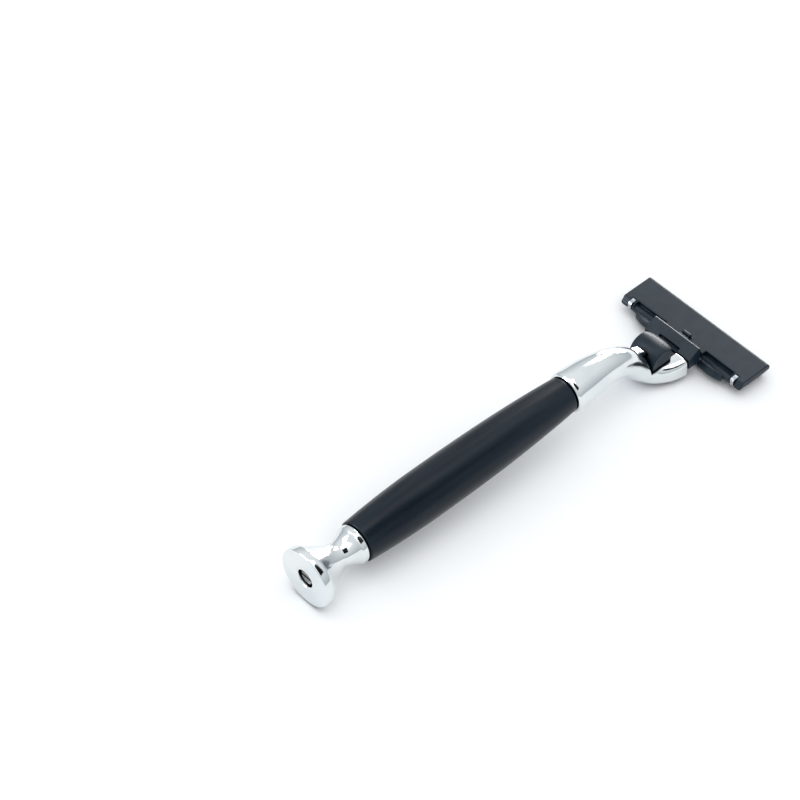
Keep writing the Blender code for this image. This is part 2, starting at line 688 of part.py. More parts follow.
def make_blade_housing(parent, black):
    bm = bmesh.new()
    extruded(bm, housing_outline(), -HOUSING_HALF_LENGTH, HOUSING_HALF_LENGTH)
    housing = finish_mesh("blade_housing", bm, black, parent, (PIVOT_X, 0.0, PIVOT_Z))

    pocket = face_slot(*POCKET_U, *POCKET_DEPTHS, BLADE_HALF_LENGTH + FINE_GAP)
    cutter("housing_pocket_cut", pocket, housing)
    fin_slot = face_slot(*FIN_SLOT_U, FIN_SLOT_DEPTH, FIN_SLOT_DEPTH, INSERT_HALF_LENGTH)
    cutter("housing_fin_cut", fin_slot, housing)
    strip_slot = face_slot(*STRIP_SLOT_U, STRIP_SLOT_DEPTH, STRIP_SLOT_DEPTH, INSERT_HALF_LENGTH)
    cutter("housing_strip_cut", strip_slot, housing)

    taper_foot = END_TAPER_TOP - 6.0
    for name, side in (("left", 1), ("right", -1)):
        taper = bmesh.new()
        edge = [(HOUSING_HALF_LENGTH, END_TAPER_TOP), (HOUSING_HALF_LENGTH + 3.0, END_TAPER_TOP)]
        edge += [(HOUSING_HALF_LENGTH + 3.0, taper_foot), (HOUSING_HALF_LENGTH - 6.0 * END_TAPER, taper_foot)]
        rings = []
        for x in (GUARD_X - 2.0, HOUSING_TOP_X + 2.0):
            rings.append([taper.verts.new((x, side * y, z)) for y, z in edge])
            taper.faces.new(rings[-1])
        join_rings(taper, rings[0], rings[1])
        cutter("housing_taper_cut_" + name, taper, housing)

    bar_side = arc((PIVOT_X, PIVOT_Z), PIVOT_X - GUARD_X + 0.05, 205.0, 68.0, 8)
    window_outline = bar_side + [(PIVOT_X + WINDOW_WALL, bar_side[-1][1])]
    window_outline += [(PIVOT_X + WINDOW_WALL, PIVOT_Z + 4.0), (PIVOT_X - 4.0, PIVOT_Z + 4.0)]
    window_outline += [(PIVOT_X - 4.0, bar_side[0][1])]
    for name, low_y, high_y in both_sides(*WINDOW_Y):
        window = bmesh.new()
        extruded(window, window_outline, low_y, high_y)
        cutter("housing_window_cut_" + name, window, housing)

    deep = CLIP_THICKNESS + FINE_GAP
    before_guard, tail_end = GUARD_X - 1.0, CLIP_TAIL_X + FINE_GAP
    groove_end = CLIP_END_U + 0.4
    groove_outline = [
        (before_guard, GUARD_Z - 4.0),
        face_point(groove_end, -1.2),
        face_point(groove_end, deep),
        face_point(deep, deep),
        (GUARD_X + deep, HOUSING_BACK - deep),
        (tail_end, HOUSING_BACK - deep),
        (tail_end, HOUSING_BACK + 1.0),
        (before_guard, HOUSING_BACK + 1.0),
    ]
    for name, low_y, high_y in both_sides(CLIP_Y[0] - FINE_GAP, CLIP_Y[1] + FINE_GAP):
        groove = bmesh.new()
        extruded(groove, groove_outline, low_y, high_y)
        cutter("housing_groove_cut_" + name, groove, housing)

    cam = bmesh.new()
    root_z = HOUSING_BACK - 0.3
    root = [(CAM_X + CAM_RADIUS, root_z), (CAM_X - CAM_RADIUS, root_z)]
    extruded(cam, root + arc((CAM_X, CAM_Z), CAM_RADIUS, 180.0, 0.0, 8), -1.3, 1.3)
    cutter("housing_cam", cam, housing, "UNION")
    return housing


def raked(number, run, drop):
    """A point (u, depth) of a numbered blade: run along the blade from its edge, drop below it."""
    u = BLADE_EDGE_U + BLADE_PITCH * (number - 1) + run * cos(BLADE_RAKE) - drop * sin(BLADE_RAKE)
    return u, run * sin(BLADE_RAKE) + drop * cos(BLADE_RAKE)


def make_blade(number, parent, steel):
    """A thin strip with a ground edge, raked into the housing."""
    section = [(0.0, 0.0), (BLADE_WIDTH, 0.0), (BLADE_WIDTH, BLADE_THICKNESS)]
    section.append((BLADE_GROUND, BLADE_THICKNESS))
    outline = [face_point(*raked(number, run, drop)) for run, drop in section]
    bm = bmesh.new()
    extruded(bm, outline, -BLADE_HALF_LENGTH, BLADE_HALF_LENGTH)
    return finish_mesh("blade_%d" % number, bm, steel, parent, smooth=False)


def make_blade_support(number, parent, steel):
    """A bent strip: a raked shelf under the blade and a leg down into the housing."""
    top = BLADE_THICKNESS + 0.1
    bottom = top + SUPPORT_SHEET
    front, back = 0.55, 1.3
    corner_u = raked(number, back, top)[0]
    outline = [raked(number, front, top), raked(number, back, top)]
    outline += [(corner_u, SUPPORT_LEG_DEPTH), (corner_u - SUPPORT_SHEET, SUPPORT_LEG_DEPTH)]
    outline += [raked(number, back - SUPPORT_SHEET, bottom), raked(number, front, bottom)]
    half_length = BLADE_HALF_LENGTH - 0.6
    bm = bmesh.new()
    extruded(bm, [face_point(u, depth) for u, depth in outline], -half_length, half_length)
    return finish_mesh("blade_support_%d" % number, bm, steel, parent, smooth=False)


def make_guard_fins(parent, rubber):
    """A soft strip with four low ridges along the guard."""
    half_length = INSERT_HALF_LENGTH - FINE_GAP
    low_u, high_u = FIN_SLOT_U[0] + FINE_GAP, FIN_SLOT_U[1] - FINE_GAP
    base, valley, crest = FIN_SLOT_DEPTH - FINE_GAP, 0.25, -0.15
    fins = 4
    pitch = (high_u - low_u) / fins
    outline = [(low_u, base), (high_u, base)]
    for fin in range(fins):
        right = high_u - fin * pitch
        outline += [(right, crest), (right - pitch * 0.5, crest), (right - pitch * 0.55, valley)]
        outline.append((max(right - pitch * 0.95, low_u), valley))
    outline[-1] = (low_u, valley)
    bm = bmesh.new()
    extruded(bm, [face_point(u, depth) for u, depth in outline], -half_length, half_length)
    return finish_mesh("guard_fins", bm, rubber, parent, smooth=False)


def make_lubricating_strip(parent, gel):
    """A strip behind the blades with a slightly crowned face."""
    half_length = INSERT_HALF_LENGTH - FINE_GAP
    low_u, high_u = STRIP_SLOT_U[0] + FINE_GAP, STRIP_SLOT_U[1] - FINE_GAP
    base, shoulder = STRIP_SLOT_DEPTH - FINE_GAP, 0.1
    outline = [(low_u, base), (low_u, shoulder), (low_u + 0.2, 0.0)]
    outline += [(high_u - 0.2, 0.0), (high_u, shoulder), (high_u, base)]
    bm = bmesh.new()
    extruded(bm, [face_point(u, depth) for u, depth in outline], -half_length, half_length)
    return finish_mesh("lubricating_strip", bm, gel, parent, smooth=False)


def make_clip(name, low_y, high_y, parent, aluminium):
    """A sheet clip that goes over the blades, round the guard and on to the back."""
    outer_x = GUARD_X + 0.05
    inner_x = outer_x + CLIP_THICKNESS
    inner_depth = CLIP_THICKNESS - CLIP_PROUD - 0.02
    outline = [
        face_point(CLIP_END_U, -CLIP_PROUD),
        face_point(0.5, -CLIP_PROUD),
        (outer_x, GUARD_Z + 0.2),
        (outer_x, HOUSING_BACK - 0.4),
        (inner_x, HOUSING_BACK),
        (CLIP_TAIL_X, HOUSING_BACK),
        (CLIP_TAIL_X, HOUSING_BACK - CLIP_THICKNESS),
        (inner_x, HOUSING_BACK - CLIP_THICKNESS),
        (inner_x, GUARD_Z + 0.35),
        face_point(0.75, inner_depth),
        face_point(CLIP_END_U, inner_depth),
    ]
    bm = bmesh.new()
    extruded(bm, outline, low_y, high_y)
    return finish_mesh(name, bm, aluminium, parent, smooth=False)


def build():
    clear_scene()
    resin = material("black_resin", (0.012, 0.014, 0.016), 0.12)
    chrome = material("chrome", (0.86, 0.88, 0.89), 0.06, 1.0)
    steel = material("steel", (0.62, 0.63, 0.64), 0.3, 1.0)
    aluminium = material("aluminium", (0.78, 0.79, 0.8), 0.25, 1.0)
    fibre = material("fibre", (0.05, 0.04, 0.035), 0.8)
    black = material("black_plastic", (0.02, 0.022, 0.025), 0.4)
    rubber = material("rubber", (0.03, 0.035, 0.05), 0.7)
    gel = material("gel", (0.62, 0.78, 0.72), 0.35)

    middle_x = (pitched(*REAR_POINT)[0] + pitched(*FRONT_POINT)[0]) / 2
    razor = empty("razor_frame", (-middle_x, 0.0, -pitched(*RIM)[1]))
    razor.rotation_euler = (0.0, -PITCH, 0.0)

    make_grip(razor, resin)
    make_washer("rear_washer", -GRIP_LENGTH, razor, fibre)
    make_washer("front_washer", -WASHER_THICKNESS, razor, fibre)
    make_tie_rod(razor, steel)
    make_end_cap(razor, chrome)
    make_cap_screw(razor, steel)
    make_neck(razor, chrome)
    make_nose_pin(razor, chrome)
    make_nose_insert(razor, black)

    rest_tip = CAM_X - CAM_RADIUS - GAP
    make_plunger(razor, black, rest_tip)
    peg_z = (PLUNGER_TOP + PLUNGER_BOTTOM) / 2
    make_spring("plunger_spring", razor, steel, 28.8, 33.1, peg_z, 0.5, 0.12, 9)
    make_release_button(razor, black)
    make_ejector_plate(razor, black)
    make_spring("button_spring", razor, steel, *BUTTON_SPRING_X, -7.6, 0.6, 0.12, 5)

    make_connector(razor, black)
    pivot = empty("blade_pivot", (PIVOT_X, 0.0, PIVOT_Z), razor)
    pivot["at"] = (PIVOT_X, 0.0, PIVOT_Z)
    make_blade_housing(pivot, black)
    for number in (1, 2, 3):
        make_blade(number, pivot, steel)
        make_blade_support(number, pivot, steel)
    make_guard_fins(pivot, rubber)
    make_lubricating_strip(pivot, gel)
    for side, low_y, high_y in both_sides(*CLIP_Y):
        make_clip("clip_" + side, low_y, high_y, pivot, aluminium)


build()
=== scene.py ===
"""The looks of a cartridge razor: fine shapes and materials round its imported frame.

Shapes are drawn in millimetres in the handle's own frame, as the CAD's are: x runs along the handle
towards the blades, z points out of the razor's back, and y is across it. The frame's pivot and the
handle's axis then say where that frame lies, and each CAD node's own extents say where its piece goes.
"""

import json
from math import acos, atan2, cos, degrees, pi, radians, sin

import bpy
import bmesh
from mathutils import Matrix, Vector


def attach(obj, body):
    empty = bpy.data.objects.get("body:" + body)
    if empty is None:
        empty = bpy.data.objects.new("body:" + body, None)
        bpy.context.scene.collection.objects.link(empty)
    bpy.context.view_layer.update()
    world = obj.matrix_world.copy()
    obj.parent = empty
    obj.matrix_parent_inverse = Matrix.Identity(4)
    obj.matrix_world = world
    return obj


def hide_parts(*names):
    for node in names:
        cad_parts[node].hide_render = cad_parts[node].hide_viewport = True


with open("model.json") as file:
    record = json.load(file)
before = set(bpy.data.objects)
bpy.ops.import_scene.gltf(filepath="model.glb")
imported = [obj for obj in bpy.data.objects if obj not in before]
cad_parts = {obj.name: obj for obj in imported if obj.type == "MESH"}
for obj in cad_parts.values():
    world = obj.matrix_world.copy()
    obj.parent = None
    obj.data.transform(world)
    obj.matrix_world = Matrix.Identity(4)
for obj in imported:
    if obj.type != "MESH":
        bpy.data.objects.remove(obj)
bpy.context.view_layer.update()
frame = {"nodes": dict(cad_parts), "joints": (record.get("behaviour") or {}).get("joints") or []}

MM = 0.001

# Where the camera stands: it looks at a point over the grip, from behind the butt end
CAMERA_AIM = Vector((-0.0407, 0.0, 0.0492))
CAMERA_DISTANCE = 0.8456
CAMERA_AZIMUTH = radians(-45.593)
CAMERA_ELEVATION = radians(45.728)
CAMERA_ROLL = radians(3.698)
CAMERA_LENS = 166.5

# The pivot of the blades, in the handle's frame
PIVOT_X = 43.0
PIVOT_Z = -13.4

# The grip: how far along it is fullest, the radii of its two ends and bore, and its edge round
GRIP_FULL_AT = 0.34
GRIP_BUTT_RADIUS = 5.45
GRIP_HEAD_RADIUS = 4.8
GRIP_BORE = 2.3
GRIP_EDGE = 0.3

# The end cap and its screw: collar and waist are measured back from the grip, and rim, recess and
# screw hole forward from the disc's face; the screw's slot is (width, depth)
CAP_COLLAR_RADIUS = 5.1
CAP_COLLAR_LENGTH = 1.5
CAP_COLLAR_STEP = 0.35
CAP_WAIST_RADIUS = 3.42
CAP_WAIST_AT = 5.6
CAP_RIM_LENGTH = 2.3
CAP_RIM_LIP = 0.15
CAP_RECESS_RADIUS = 2.45
CAP_RECESS_DEPTH = 2.0
CAP_SCREW_HOLE = 1.4
CAP_SCREW_HOLE_END = 7.0
CAP_EDGE_ROUND = 0.4
SCREW_HEAD_DEPTH = 1.0
SCREW_SHANK = 1.1
SCREW_SLOT = (0.6, 0.45)
ROD_CLEARANCE = 0.3

# The neck: centre line stations as (x, z, half width, half height, squareness)
NECK_STATIONS = (
    (0.3, 0.0, 5.15, 5.15, 2.0),
    (1.2, 0.0, 5.55, 5.55, 2.0),
    (3.4, 0.0, 5.5, 5.5, 2.0),
    (8.0, 0.0, 5.15, 5.15, 2.0),
    (12.0, -0.25, 4.7, 4.7, 2.0),
    (15.8, -1.1, 4.35, 4.25, 2.0),
    (19.4, -2.9, 4.1, 3.9, 2.0),
    (22.5, -5.3, 4.0, 3.6, 2.1),
    (25.4, -8.4, 4.5, 3.4, 2.3),
    (28.6, -11.1, 5.7, 3.1, 2.8),
    (32.5, -12.0, 7.1, 3.1, 4.0),
    (36.3, -12.0, 7.7, 3.1, 5.5),
)
NECK_SIDES = 96
NECK_SPAN_STEPS = 8
WALL_TOP = -9.1
TUB_FLOOR = -13.3
TUB_BACK = 27.4
TUB_HALF_WIDTH = 3.5
TONGUE_HALF_WIDTH = 1.25
TONGUE_FRONT = 27.8
NOTCH_BACK = 26.45
TONGUE_OUTLINE = ((TONGUE_FRONT, -4.8), (27.5, -4.1), (26.8, -3.4), (25.6, -2.8), (24.2, -2.3))
CUT_OVERLAP = 0.2

# The docking nose and the plunger in it
NOSE_TOP = -9.6
NOSE_TIP_TOP = -10.1
NOSE_STEP_X = 36.2
NOSE_CHAMFER = 0.8
CHANNEL_FLOOR = -11.2
CHANNEL_HALF_WIDTH = 1.8
CHANNEL_WALL = 0.9
POST_X = (33.0, 33.6)
POST_HALF_WIDTH = 0.8
POST_FOOT_X = (32.6, 34.0)
POST_FOOT_HALF_WIDTH = 2.4
POST_FOOT_SINK = 0.3
PLUNGER_BACK = 33.4
PLUNGER_PEG_RADIUS = 0.2
PLUNGER_ROUND = 0.35
COIL_STEPS_PER_TURN = 28
COIL_WIRE = 0.12

# The thumb button
BUTTON_X = 31.1
BUTTON_Z = -8.1
BUTTON_RADIUS = 4.3
BUTTON_END_SHRINK = 0.13
BUTTON_CORNER = 0.9
BUTTON_HOLLOW_X = (28.9, 33.8)
BUTTON_HOLLOW_RISE = (1.8, 2.8)
BUTTON_SLOT_GAP = 0.3

# The connector: arms round the pivot, and a block with a dish in its top (front, half width, floor)
# and a socket through it (front, half width, floor, roof)
BEARING_IN = 2.0
BEARING_OUT = 3.1
BEARING_TURN = (140.0, 188.0)
BEARING_Y = (7.0, 15.0)
BEARING_PEAK_Y = 11.5
BEARING_ROOT_DROP = 0.4
BEARING_TIP_DROP = 0.85
BLOCK_FRONT = 40.6
BLOCK_HALF_WIDTH = 7.7
BLOCK_EDGE_BACK = -9.1
BLOCK_EDGE_FRONT = -7.2
BLOCK_UNDERSIDE = -12.1
BLOCK_CHAMFER = 0.55
BLOCK_DISH = (37.7, 3.4, -9.4)
SOCKET = (39.7, 3.5, -13.5, -9.8)
SOCKET_BOX_HALF_WIDTH = 4.5
KNUCKLE_TOP = -11.4
KNUCKLE_REACH = 0.5

# The cartridge: points (x, z), spans of y, and spans of u across the shaving face, which runs from
# the guard's edge to the cap's
GUARD = (41.4, -13.4)
CAP_EDGE = (51.35, -16.5)
HOUSING_BACK = -11.3
HOUSING_EDGE = 0.6
CAP_NOSE_HEIGHT = 1.0
END_TAPER_TOP = -12.9
END_TAPER = 0.52
WINDOW_Y = (6.8, 16.7)
WINDOW_BAR = 1.05
FIN_SLOT_U = (0.35, 2.2)
FIN_DEPTH = 0.55
RIDGES = 4
STRIP_SLOT_U = (8.3, 9.5)
STRIP_SLOT_DEPTH = 0.9
STRIP_FOOT_DEPTH = 0.7
SLOT_GAP = 0.2
CAM = (43.8, -10.5)
CAM_RADIUS = 0.6
CAM_HALF_LENGTH = 1.3
POCKET_U = (2.6, 7.9)
POCKET_DEPTHS = (1.3, 2.2)
CLIP_THICKNESS = 0.3
CLIP_PROUD = 0.4
CLIP_END_U = 7.6
CLIP_TAIL_X = 43.4
CLIP_BEND = 0.7
BLADE_PITCH = 1.5
BLADE_EDGE_U = 2.9
BLADE_RAKE = radians(21.5)

# A blade's section, as distances along it from its edge and below it
BLADE_SECTION = (
    (0.0, 0.05),
    (0.12, 0.02),
    (0.4, 0.0),
    (1.13, 0.0),
    (1.15, 0.02),
    (1.15, 0.13),
    (1.13, 0.15),
    (0.4, 0.15),
    (0.12, 0.09),
)

FACE_TILT = atan2(GUARD[1] - CAP_EDGE[1], CAP_EDGE[0] - GUARD[0])


def joint(name):
    return next(item for item in frame["joints"] if item["name"] == name)


def handle_matrix():
    """Carries a point of the handle's frame, in millimetres, to the row frame, in metres."""
    forward = Vector(joint("cartridge_slide")["axis"]).normalized()
    across = Vector((0.0, 1.0, 0.0))
    up = forward.cross(across)
    turn = Matrix((forward, across, up)).transposed().to_4x4()
    pivot = Matrix.Translation(Vector(joint("blade_pivot")["pos_m"]))
    return pivot @ turn @ Matrix.Scale(MM, 4) @ Matrix.Translation((-PIVOT_X, 0.0, -PIVOT_Z))


HANDLE = handle_matrix()


def span(node):
    """The lowest and highest corners of a CAD node in the handle's frame, in millimetres."""
    inverse = HANDLE.inverted()
    points = [inverse @ vertex.co for vertex in frame["nodes"][node].data.vertices]
    low = Vector([min(point[axis] for point in points) for axis in range(3)])
    high = Vector([max(point[axis] for point in points) for axis in range(3)])
    return low, high


# ---------------------------------------------------------------- mesh tools


def join_rings(bm, first, second):
    """Bridges two rings of vertices, either of which may be a single point."""
    if len(first) == 1 and len(second) == 1:
        return
    count = max(len(first), len(second))
    for step in range(count):
        after = (step + 1) % count
        if len(first) == 1:
            bm.faces.new((first[0], second[step], second[after]))
        elif len(second) == 1:
            bm.faces.new((first[step], second[0], first[after]))
        else:
            bm.faces.new((first[step], second[step], second[after], first[after]))


def turned(outline, sides=144, axis_z=0.0):
    """A solid turned about an axis along x, from an outline of (x, radius) points."""
    bm = bmesh.new()
    rings = []
    for x, radius in outline:
        if radius < 1e-6:
            rings.append([bm.verts.new((x, 0.0, axis_z))])
            continue
        ring = []
        for step in range(sides):
            angle = 2.0 * pi * step / sides
            ring.append(bm.verts.new((x, radius * cos(angle), axis_z + radius * sin(angle))))
        rings.append(ring)
    for first, second in zip(rings, rings[1:] + rings[:1]):
        join_rings(bm, first, second)
    return bm


def extruded(outline, low_y, high_y):
    """A prism along y from an outline of (x, z) points."""
    return lofted([[(x, y, z) for x, z in outline] for y in (low_y, high_y)])


def lofted(sections):
    """A closed solid through sections that all have the same number of points."""
    bm = bmesh.new()
    rings = [[bm.verts.new(point) for point in section] for section in sections]
    for first, second in zip(rings, rings[1:]):
        join_rings(bm, first, second)
    bm.faces.new(rings[0])
    bm.faces.new(list(reversed(rings[-1])))
    return bm


def block(low, high):
    outline = [(low[0], low[2]), (high[0], low[2]), (high[0], high[2]), (low[0], high[2])]
    return extruded(outline, low[1], high[1])


def arc(centre, radius, from_degrees, to_degrees, steps):
    """Points (x, z) on an arc; angles run from +x towards +z."""
    points = []
    for step in range(steps + 1):
        angle = radians(from_degrees + (to_degrees - from_degrees) * step / steps)
        points.append((centre[0] + radius * cos(angle), centre[1] + radius * sin(angle)))
    return points


def softened(outline, radius, steps=4, closed=True):
    """Rounds each sharp corner of an outline with a short curve that touches both its edges."""
    count = len(outline)
    points = []
    for index, here in enumerate(outline):
        corner = Vector(here)
        before = Vector(outline[index - 1]) - corner
        after = Vector(outline[(index + 1) % count]) - corner
        ends = not closed and index in (0, count - 1)
        if ends or before.length < 1e-6 or after.length < 1e-6 or before.angle(after) > radians(155.0):
            points.append(here)
            continue
        start = corner + before.normalized() * min(radius, before.length * 0.45)
        end = corner + after.normalized() * min(radius, after.length * 0.45)
        for step in range(steps + 1):
            share = step / steps
            point = start * (1 - share) ** 2 + corner * (2 * share * (1 - share)) + end * share**2
            points.append((point.x, point.y))
    return points


def both_sides(low_y, high_y):
    """The same span of y on the left (+y) and on the right (-y)."""
    return ((low_y, high_y), (-high_y, -low_y))


def temporary(bm):
    bmesh.ops.recalc_face_normals(bm, faces=bm.faces)
    mesh = bpy.data.meshes.new("tool")
    bm.to_mesh(mesh)
    bm.free()
    made = bpy.data.objects.new("tool", mesh)
    bpy.context.collection.objects.link(made)
    return made


def shaped(bm, changes=(), voxel=None, smooth=0, keep=1.0):
    """The mesh of a solid after cuts and joins, with its edges rounded by a fine remesh if asked."""
    base = temporary(bm)
    tools = []
    for operation, tool_bm in changes:
        tool = temporary(tool_bm)
        tools.append(tool)
        boolean = base.modifiers.new("shape", "BOOLEAN")
        boolean.operation = operation
        boolean.object = tool
        boolean.solver = "EXACT"
    if voxel:
        remesh = base.modifiers.new("remesh", "REMESH")
        remesh.mode = "VOXEL"
        remesh.voxel_size = voxel
        relax = base.modifiers.new("relax", "SMOOTH")
        relax.factor = 0.5
        relax.iterations = smooth
        if keep < 1.0:
            thin = base.modifiers.new("thin", "DECIMATE")
            thin.ratio = keep
    bpy.context.view_layer.update()
    evaluated = base.evaluated_get(bpy.context.evaluated_depsgraph_get())
    mesh = bpy.data.meshes.new_from_object(evaluated)
    for item in [base] + tools:
        bpy.data.objects.remove(item, do_unlink=True)
    return mesh


def as_mesh(bm):
    bmesh.ops.recalc_face_normals(bm, faces=bm.faces)
    mesh = bpy.data.meshes.new("piece")
    bm.to_mesh(mesh)
    bm.free()
    return mesh


def piece(name, mesh, surface, slot, body, *nodes, sharp=35.0):
    """Puts a mesh of the handle's frame in the scene in place of CAD nodes, riding on a body."""
    mesh.name = name
    mesh.transform(HANDLE)
    mesh.materials.clear()
    mesh.materials.append(surface)
    mesh.shade_smooth()
    if sharp:
        mesh.set_sharp_from_angle(angle=radians(sharp))
    made = bpy.data.objects.new(name, mesh)
    bpy.context.collection.objects.link(made)
    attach(made, body)
    if nodes:
        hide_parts(*nodes)
    return made


def face_point(u, depth):
    """A point (x, z) that lies u across the shaving face and the given depth into the housing."""
    x = GUARD[0] + u * cos(FACE_TILT) + depth * sin(FACE_TILT)
    z = GUARD[1] - u * sin(FACE_TILT) + depth * cos(FACE_TILT)
    return x, z


# ---------------------------------------------------------------- materials


class Surface:
    """A Principled material whose textures are procedural and in millimetres."""

    def __init__(self, name, colour, roughness, metallic=0.0, specular=0.5):
        self.material = bpy.data.materials.new(name)
        self.material.use_nodes = True
        self.material.diffuse_color = (*colour, 1.0)
        self.tree = self.material.node_tree
        self.shader = self.tree.nodes["Principled BSDF"]
        self.shader.inputs["Base Color"].default_value = (*colour, 1.0)
        self.shader.inputs["Roughness"].default_value = roughness
        self.shader.inputs["Metallic"].default_value = metallic
        self.shader.inputs["Specular IOR Level"].default_value = specular
        self.place = self.tree.nodes.new("ShaderNodeTexCoord").outputs["Object"]

    def noise(self, per_mm, stretch=(1.0, 1.0, 1.0), detail=3.0):
        """Noise with so many grains to a millimetre, drawn out along an axis where stretch is small."""
        mapping = self.tree.nodes.new("ShaderNodeMapping")
        mapping.inputs["Scale"].default_value = [per_mm * value / MM for value in stretch]
        texture = self.tree.nodes.new("ShaderNodeTexNoise")
        texture.inputs["Scale"].default_value = 1.0
        texture.inputs["Detail"].default_value = detail
        self.tree.links.new(self.place, mapping.inputs["Vector"])
        self.tree.links.new(mapping.outputs["Vector"], texture.inputs["Vector"])
        return texture.outputs["Fac"]

    def between(self, factor, low, high, spread=(0.35, 0.65)):
        """Turns a factor into a value or colour that runs from low to high."""
        ramp = self.tree.nodes.new("ShaderNodeMapRange")
        ramp.inputs["From Min"].default_value = spread[0]
        ramp.inputs["From Max"].default_value = spread[1]
        self.tree.links.new(factor, ramp.inputs["Value"])
        if isinstance(low, tuple):
            mix = self.tree.nodes.new("ShaderNodeMix")
            mix.data_type = "RGBA"
            mix.inputs["A"].default_value = (*low, 1.0)
            mix.inputs["B"].default_value = (*high, 1.0)
            self.tree.links.new(ramp.outputs["Result"], mix.inputs["Factor"])
            return mix.outputs["Result"]
        ramp.inputs["To Min"].default_value = low
        ramp.inputs["To Max"].default_value = high
        return ramp.outputs["Result"]

    def hollow(self, colour, reach_mm, dark=0.08, open_at=0.8):
        """Paints shade: darkens a colour, and the sheen over it, where the surface lies in a gap or a
        recess.
        """
        painted_shade_occlusion = self.tree.nodes.new("ShaderNodeAmbientOcclusion")
        painted_shade_occlusion.inputs["Distance"].default_value = reach_mm * MM
        openness = self.between(painted_shade_occlusion.outputs["AO"], dark, 1.0, (0.25, open_at))
        mix = self.tree.nodes.new("ShaderNodeMix")
        mix.data_type = "RGBA"
        mix.inputs["A"].default_value = (0.0, 0.0, 0.0, 1.0)
        self.tree.links.new(colour, mix.inputs["B"])
        self.tree.links.new(openness, mix.inputs["Factor"])
        sheen = self.shader.inputs["Specular IOR Level"].default_value
        self.drive("Specular IOR Level", self.between(openness, 0.0, sheen, (0.0, 1.0)))
        return mix.outputs["Result"]

    def drive(self, socket, value):
        self.tree.links.new(value, self.shader.inputs[socket])

    def bump(self, height, depth_mm, strength=1.0):
        node = self.tree.nodes.new("ShaderNodeBump")
        node.inputs["Distance"].default_value = depth_mm * MM
        node.inputs["Strength"].default_value = strength
        self.tree.links.new(height, node.inputs["Height"])
        self.tree.links.new(node.outputs["Normal"], self.shader.inputs["Normal"])


def make_resin():
    """Polished black resin: faint cloudy streaks along the grip under a clear gloss."""
    made = Surface("black_resin", (0.004, 0.009, 0.016), 0.3, specular=0.2)
    streaks = made.noise(0.3, (0.08, 1.0, 1.0), 2.0)
    made.drive("Base Color", made.between(streaks, (0.002, 0.006, 0.012), (0.007, 0.014, 0.021)))
    made.drive("Roughness", made.between(made.noise(0.5, (0.1, 1.0, 1.0), 2.0), 0.27, 0.36))
    made.bump(made.noise(0.8, (0.1, 1.0, 1.0), 1.0), 0.008, 0.15)
    return made.material


def make_chrome():
    """Plated brass: bright, a little cool, with faint wipe marks, and painted shade in its recesses."""
    made = Surface("chrome", (0.86, 0.89, 0.91), 0.07, metallic=1.0)
    cloud = made.noise(0.12, detail=4.0)
    plate = made.between(cloud, (0.71, 0.745, 0.75), (0.79, 0.81, 0.805))
    # Painted shade: the plating colour and its sheen are darkened where the surface lies in a recess
    made.drive("Base Color", made.hollow(plate, 3.0, 0.06, 0.62))
    wipe = made.noise(0.7, (0.25, 1.0, 1.0), 5.0)
    made.drive("Roughness", made.between(wipe, 0.07, 0.13))
    made.bump(made.noise(0.25, detail=1.0), 0.01, 0.12)
    return made.material


def make_steel(name, colour, roughness, stretch):
    """Rolled or ground metal with fine lines along it, and painted shade in its recesses."""
    made = Surface(name, colour, roughness, metallic=1.0)
    lines = made.noise(6.0, stretch, 4.0)
    bright = tuple(min(value * 1.12, 1.0) for value in colour)
    dull = tuple(value * 0.86 for value in colour)
    # Painted shade: the colour and its sheen are darkened where the surface lies in a gap or a recess
    made.drive("Base Color", made.hollow(made.between(lines, dull, bright), 3.0))
    made.drive("Roughness", made.between(lines, roughness * 0.75, roughness * 1.35))
    made.bump(lines, 0.01, 0.25)
    return made.material


def make_plastic(name, dark, light, roughness, grain_per_mm=5.0, specular=0.4):
    """Moulded plastic: a fine satin grain, with slightly uneven colour and sheen, and painted shade in its
    gaps and recesses.
    """
    made = Surface(name, light, roughness, specular=specular)
    cloud = made.noise(0.25, detail=3.0)
    # Painted shade: the colour and its sheen are darkened where the surface lies in a gap or a recess
    made.drive("Base Color", made.hollow(made.between(cloud, dark, light), 2.5))
    grain = made.noise(grain_per_mm, detail=3.0)
    made.drive("Roughness", made.between(grain, roughness * 0.85, roughness * 1.2))
    made.bump(grain, 0.012, 0.35)
    return made.material


def make_gel():
    """Waxy strip: pale green with a soft mottle."""
    made = Surface("gel", (0.62, 0.78, 0.72), 0.35)
    cloud = made.noise(0.8, (1.0, 0.3, 1.0), 4.0)
    made.drive("Base Color", made.between(cloud, (0.5, 0.7, 0.62), (0.7, 0.83, 0.78)))
    made.drive("Roughness", made.between(made.noise(3.0), 0.28, 0.45))
    made.shader.inputs["Subsurface Weight"].default_value = 0.2
    made.shader.inputs["Subsurface Scale"].default_value = 0.0005
    made.bump(made.noise(2.0, (1.0, 0.4, 1.0)), 0.02, 0.4)
    return made.material


# ---------------------------------------------------------------- the handle


def make_grip(resin):
    """The barrel: fullest nearer the butt, with a small round edge at each end."""
    low, high = span("grip")
    full_x = low.x + (high.x - low.x) * GRIP_FULL_AT
    full = high.y
    outline = [(low.x, GRIP_BORE)]
    stations = 96
    for step in range(stations + 1):
        x = low.x + (high.x - low.x) * step / stations
        if x < full_x:
            radius = full - (full - GRIP_BUTT_RADIUS) * ((full_x - x) / (full_x - low.x)) ** 2
        else:
            radius = full - (full - GRIP_HEAD_RADIUS) * ((x - full_x) / (high.x - full_x)) ** 2.4
        outline.append((x, radius))
    outline.append((high.x, GRIP_BORE))
    bm = turned(softened(outline, GRIP_EDGE), 160)
    return piece("resin_grip", as_mesh(bm), resin, "black_resin", "handle", "grip")


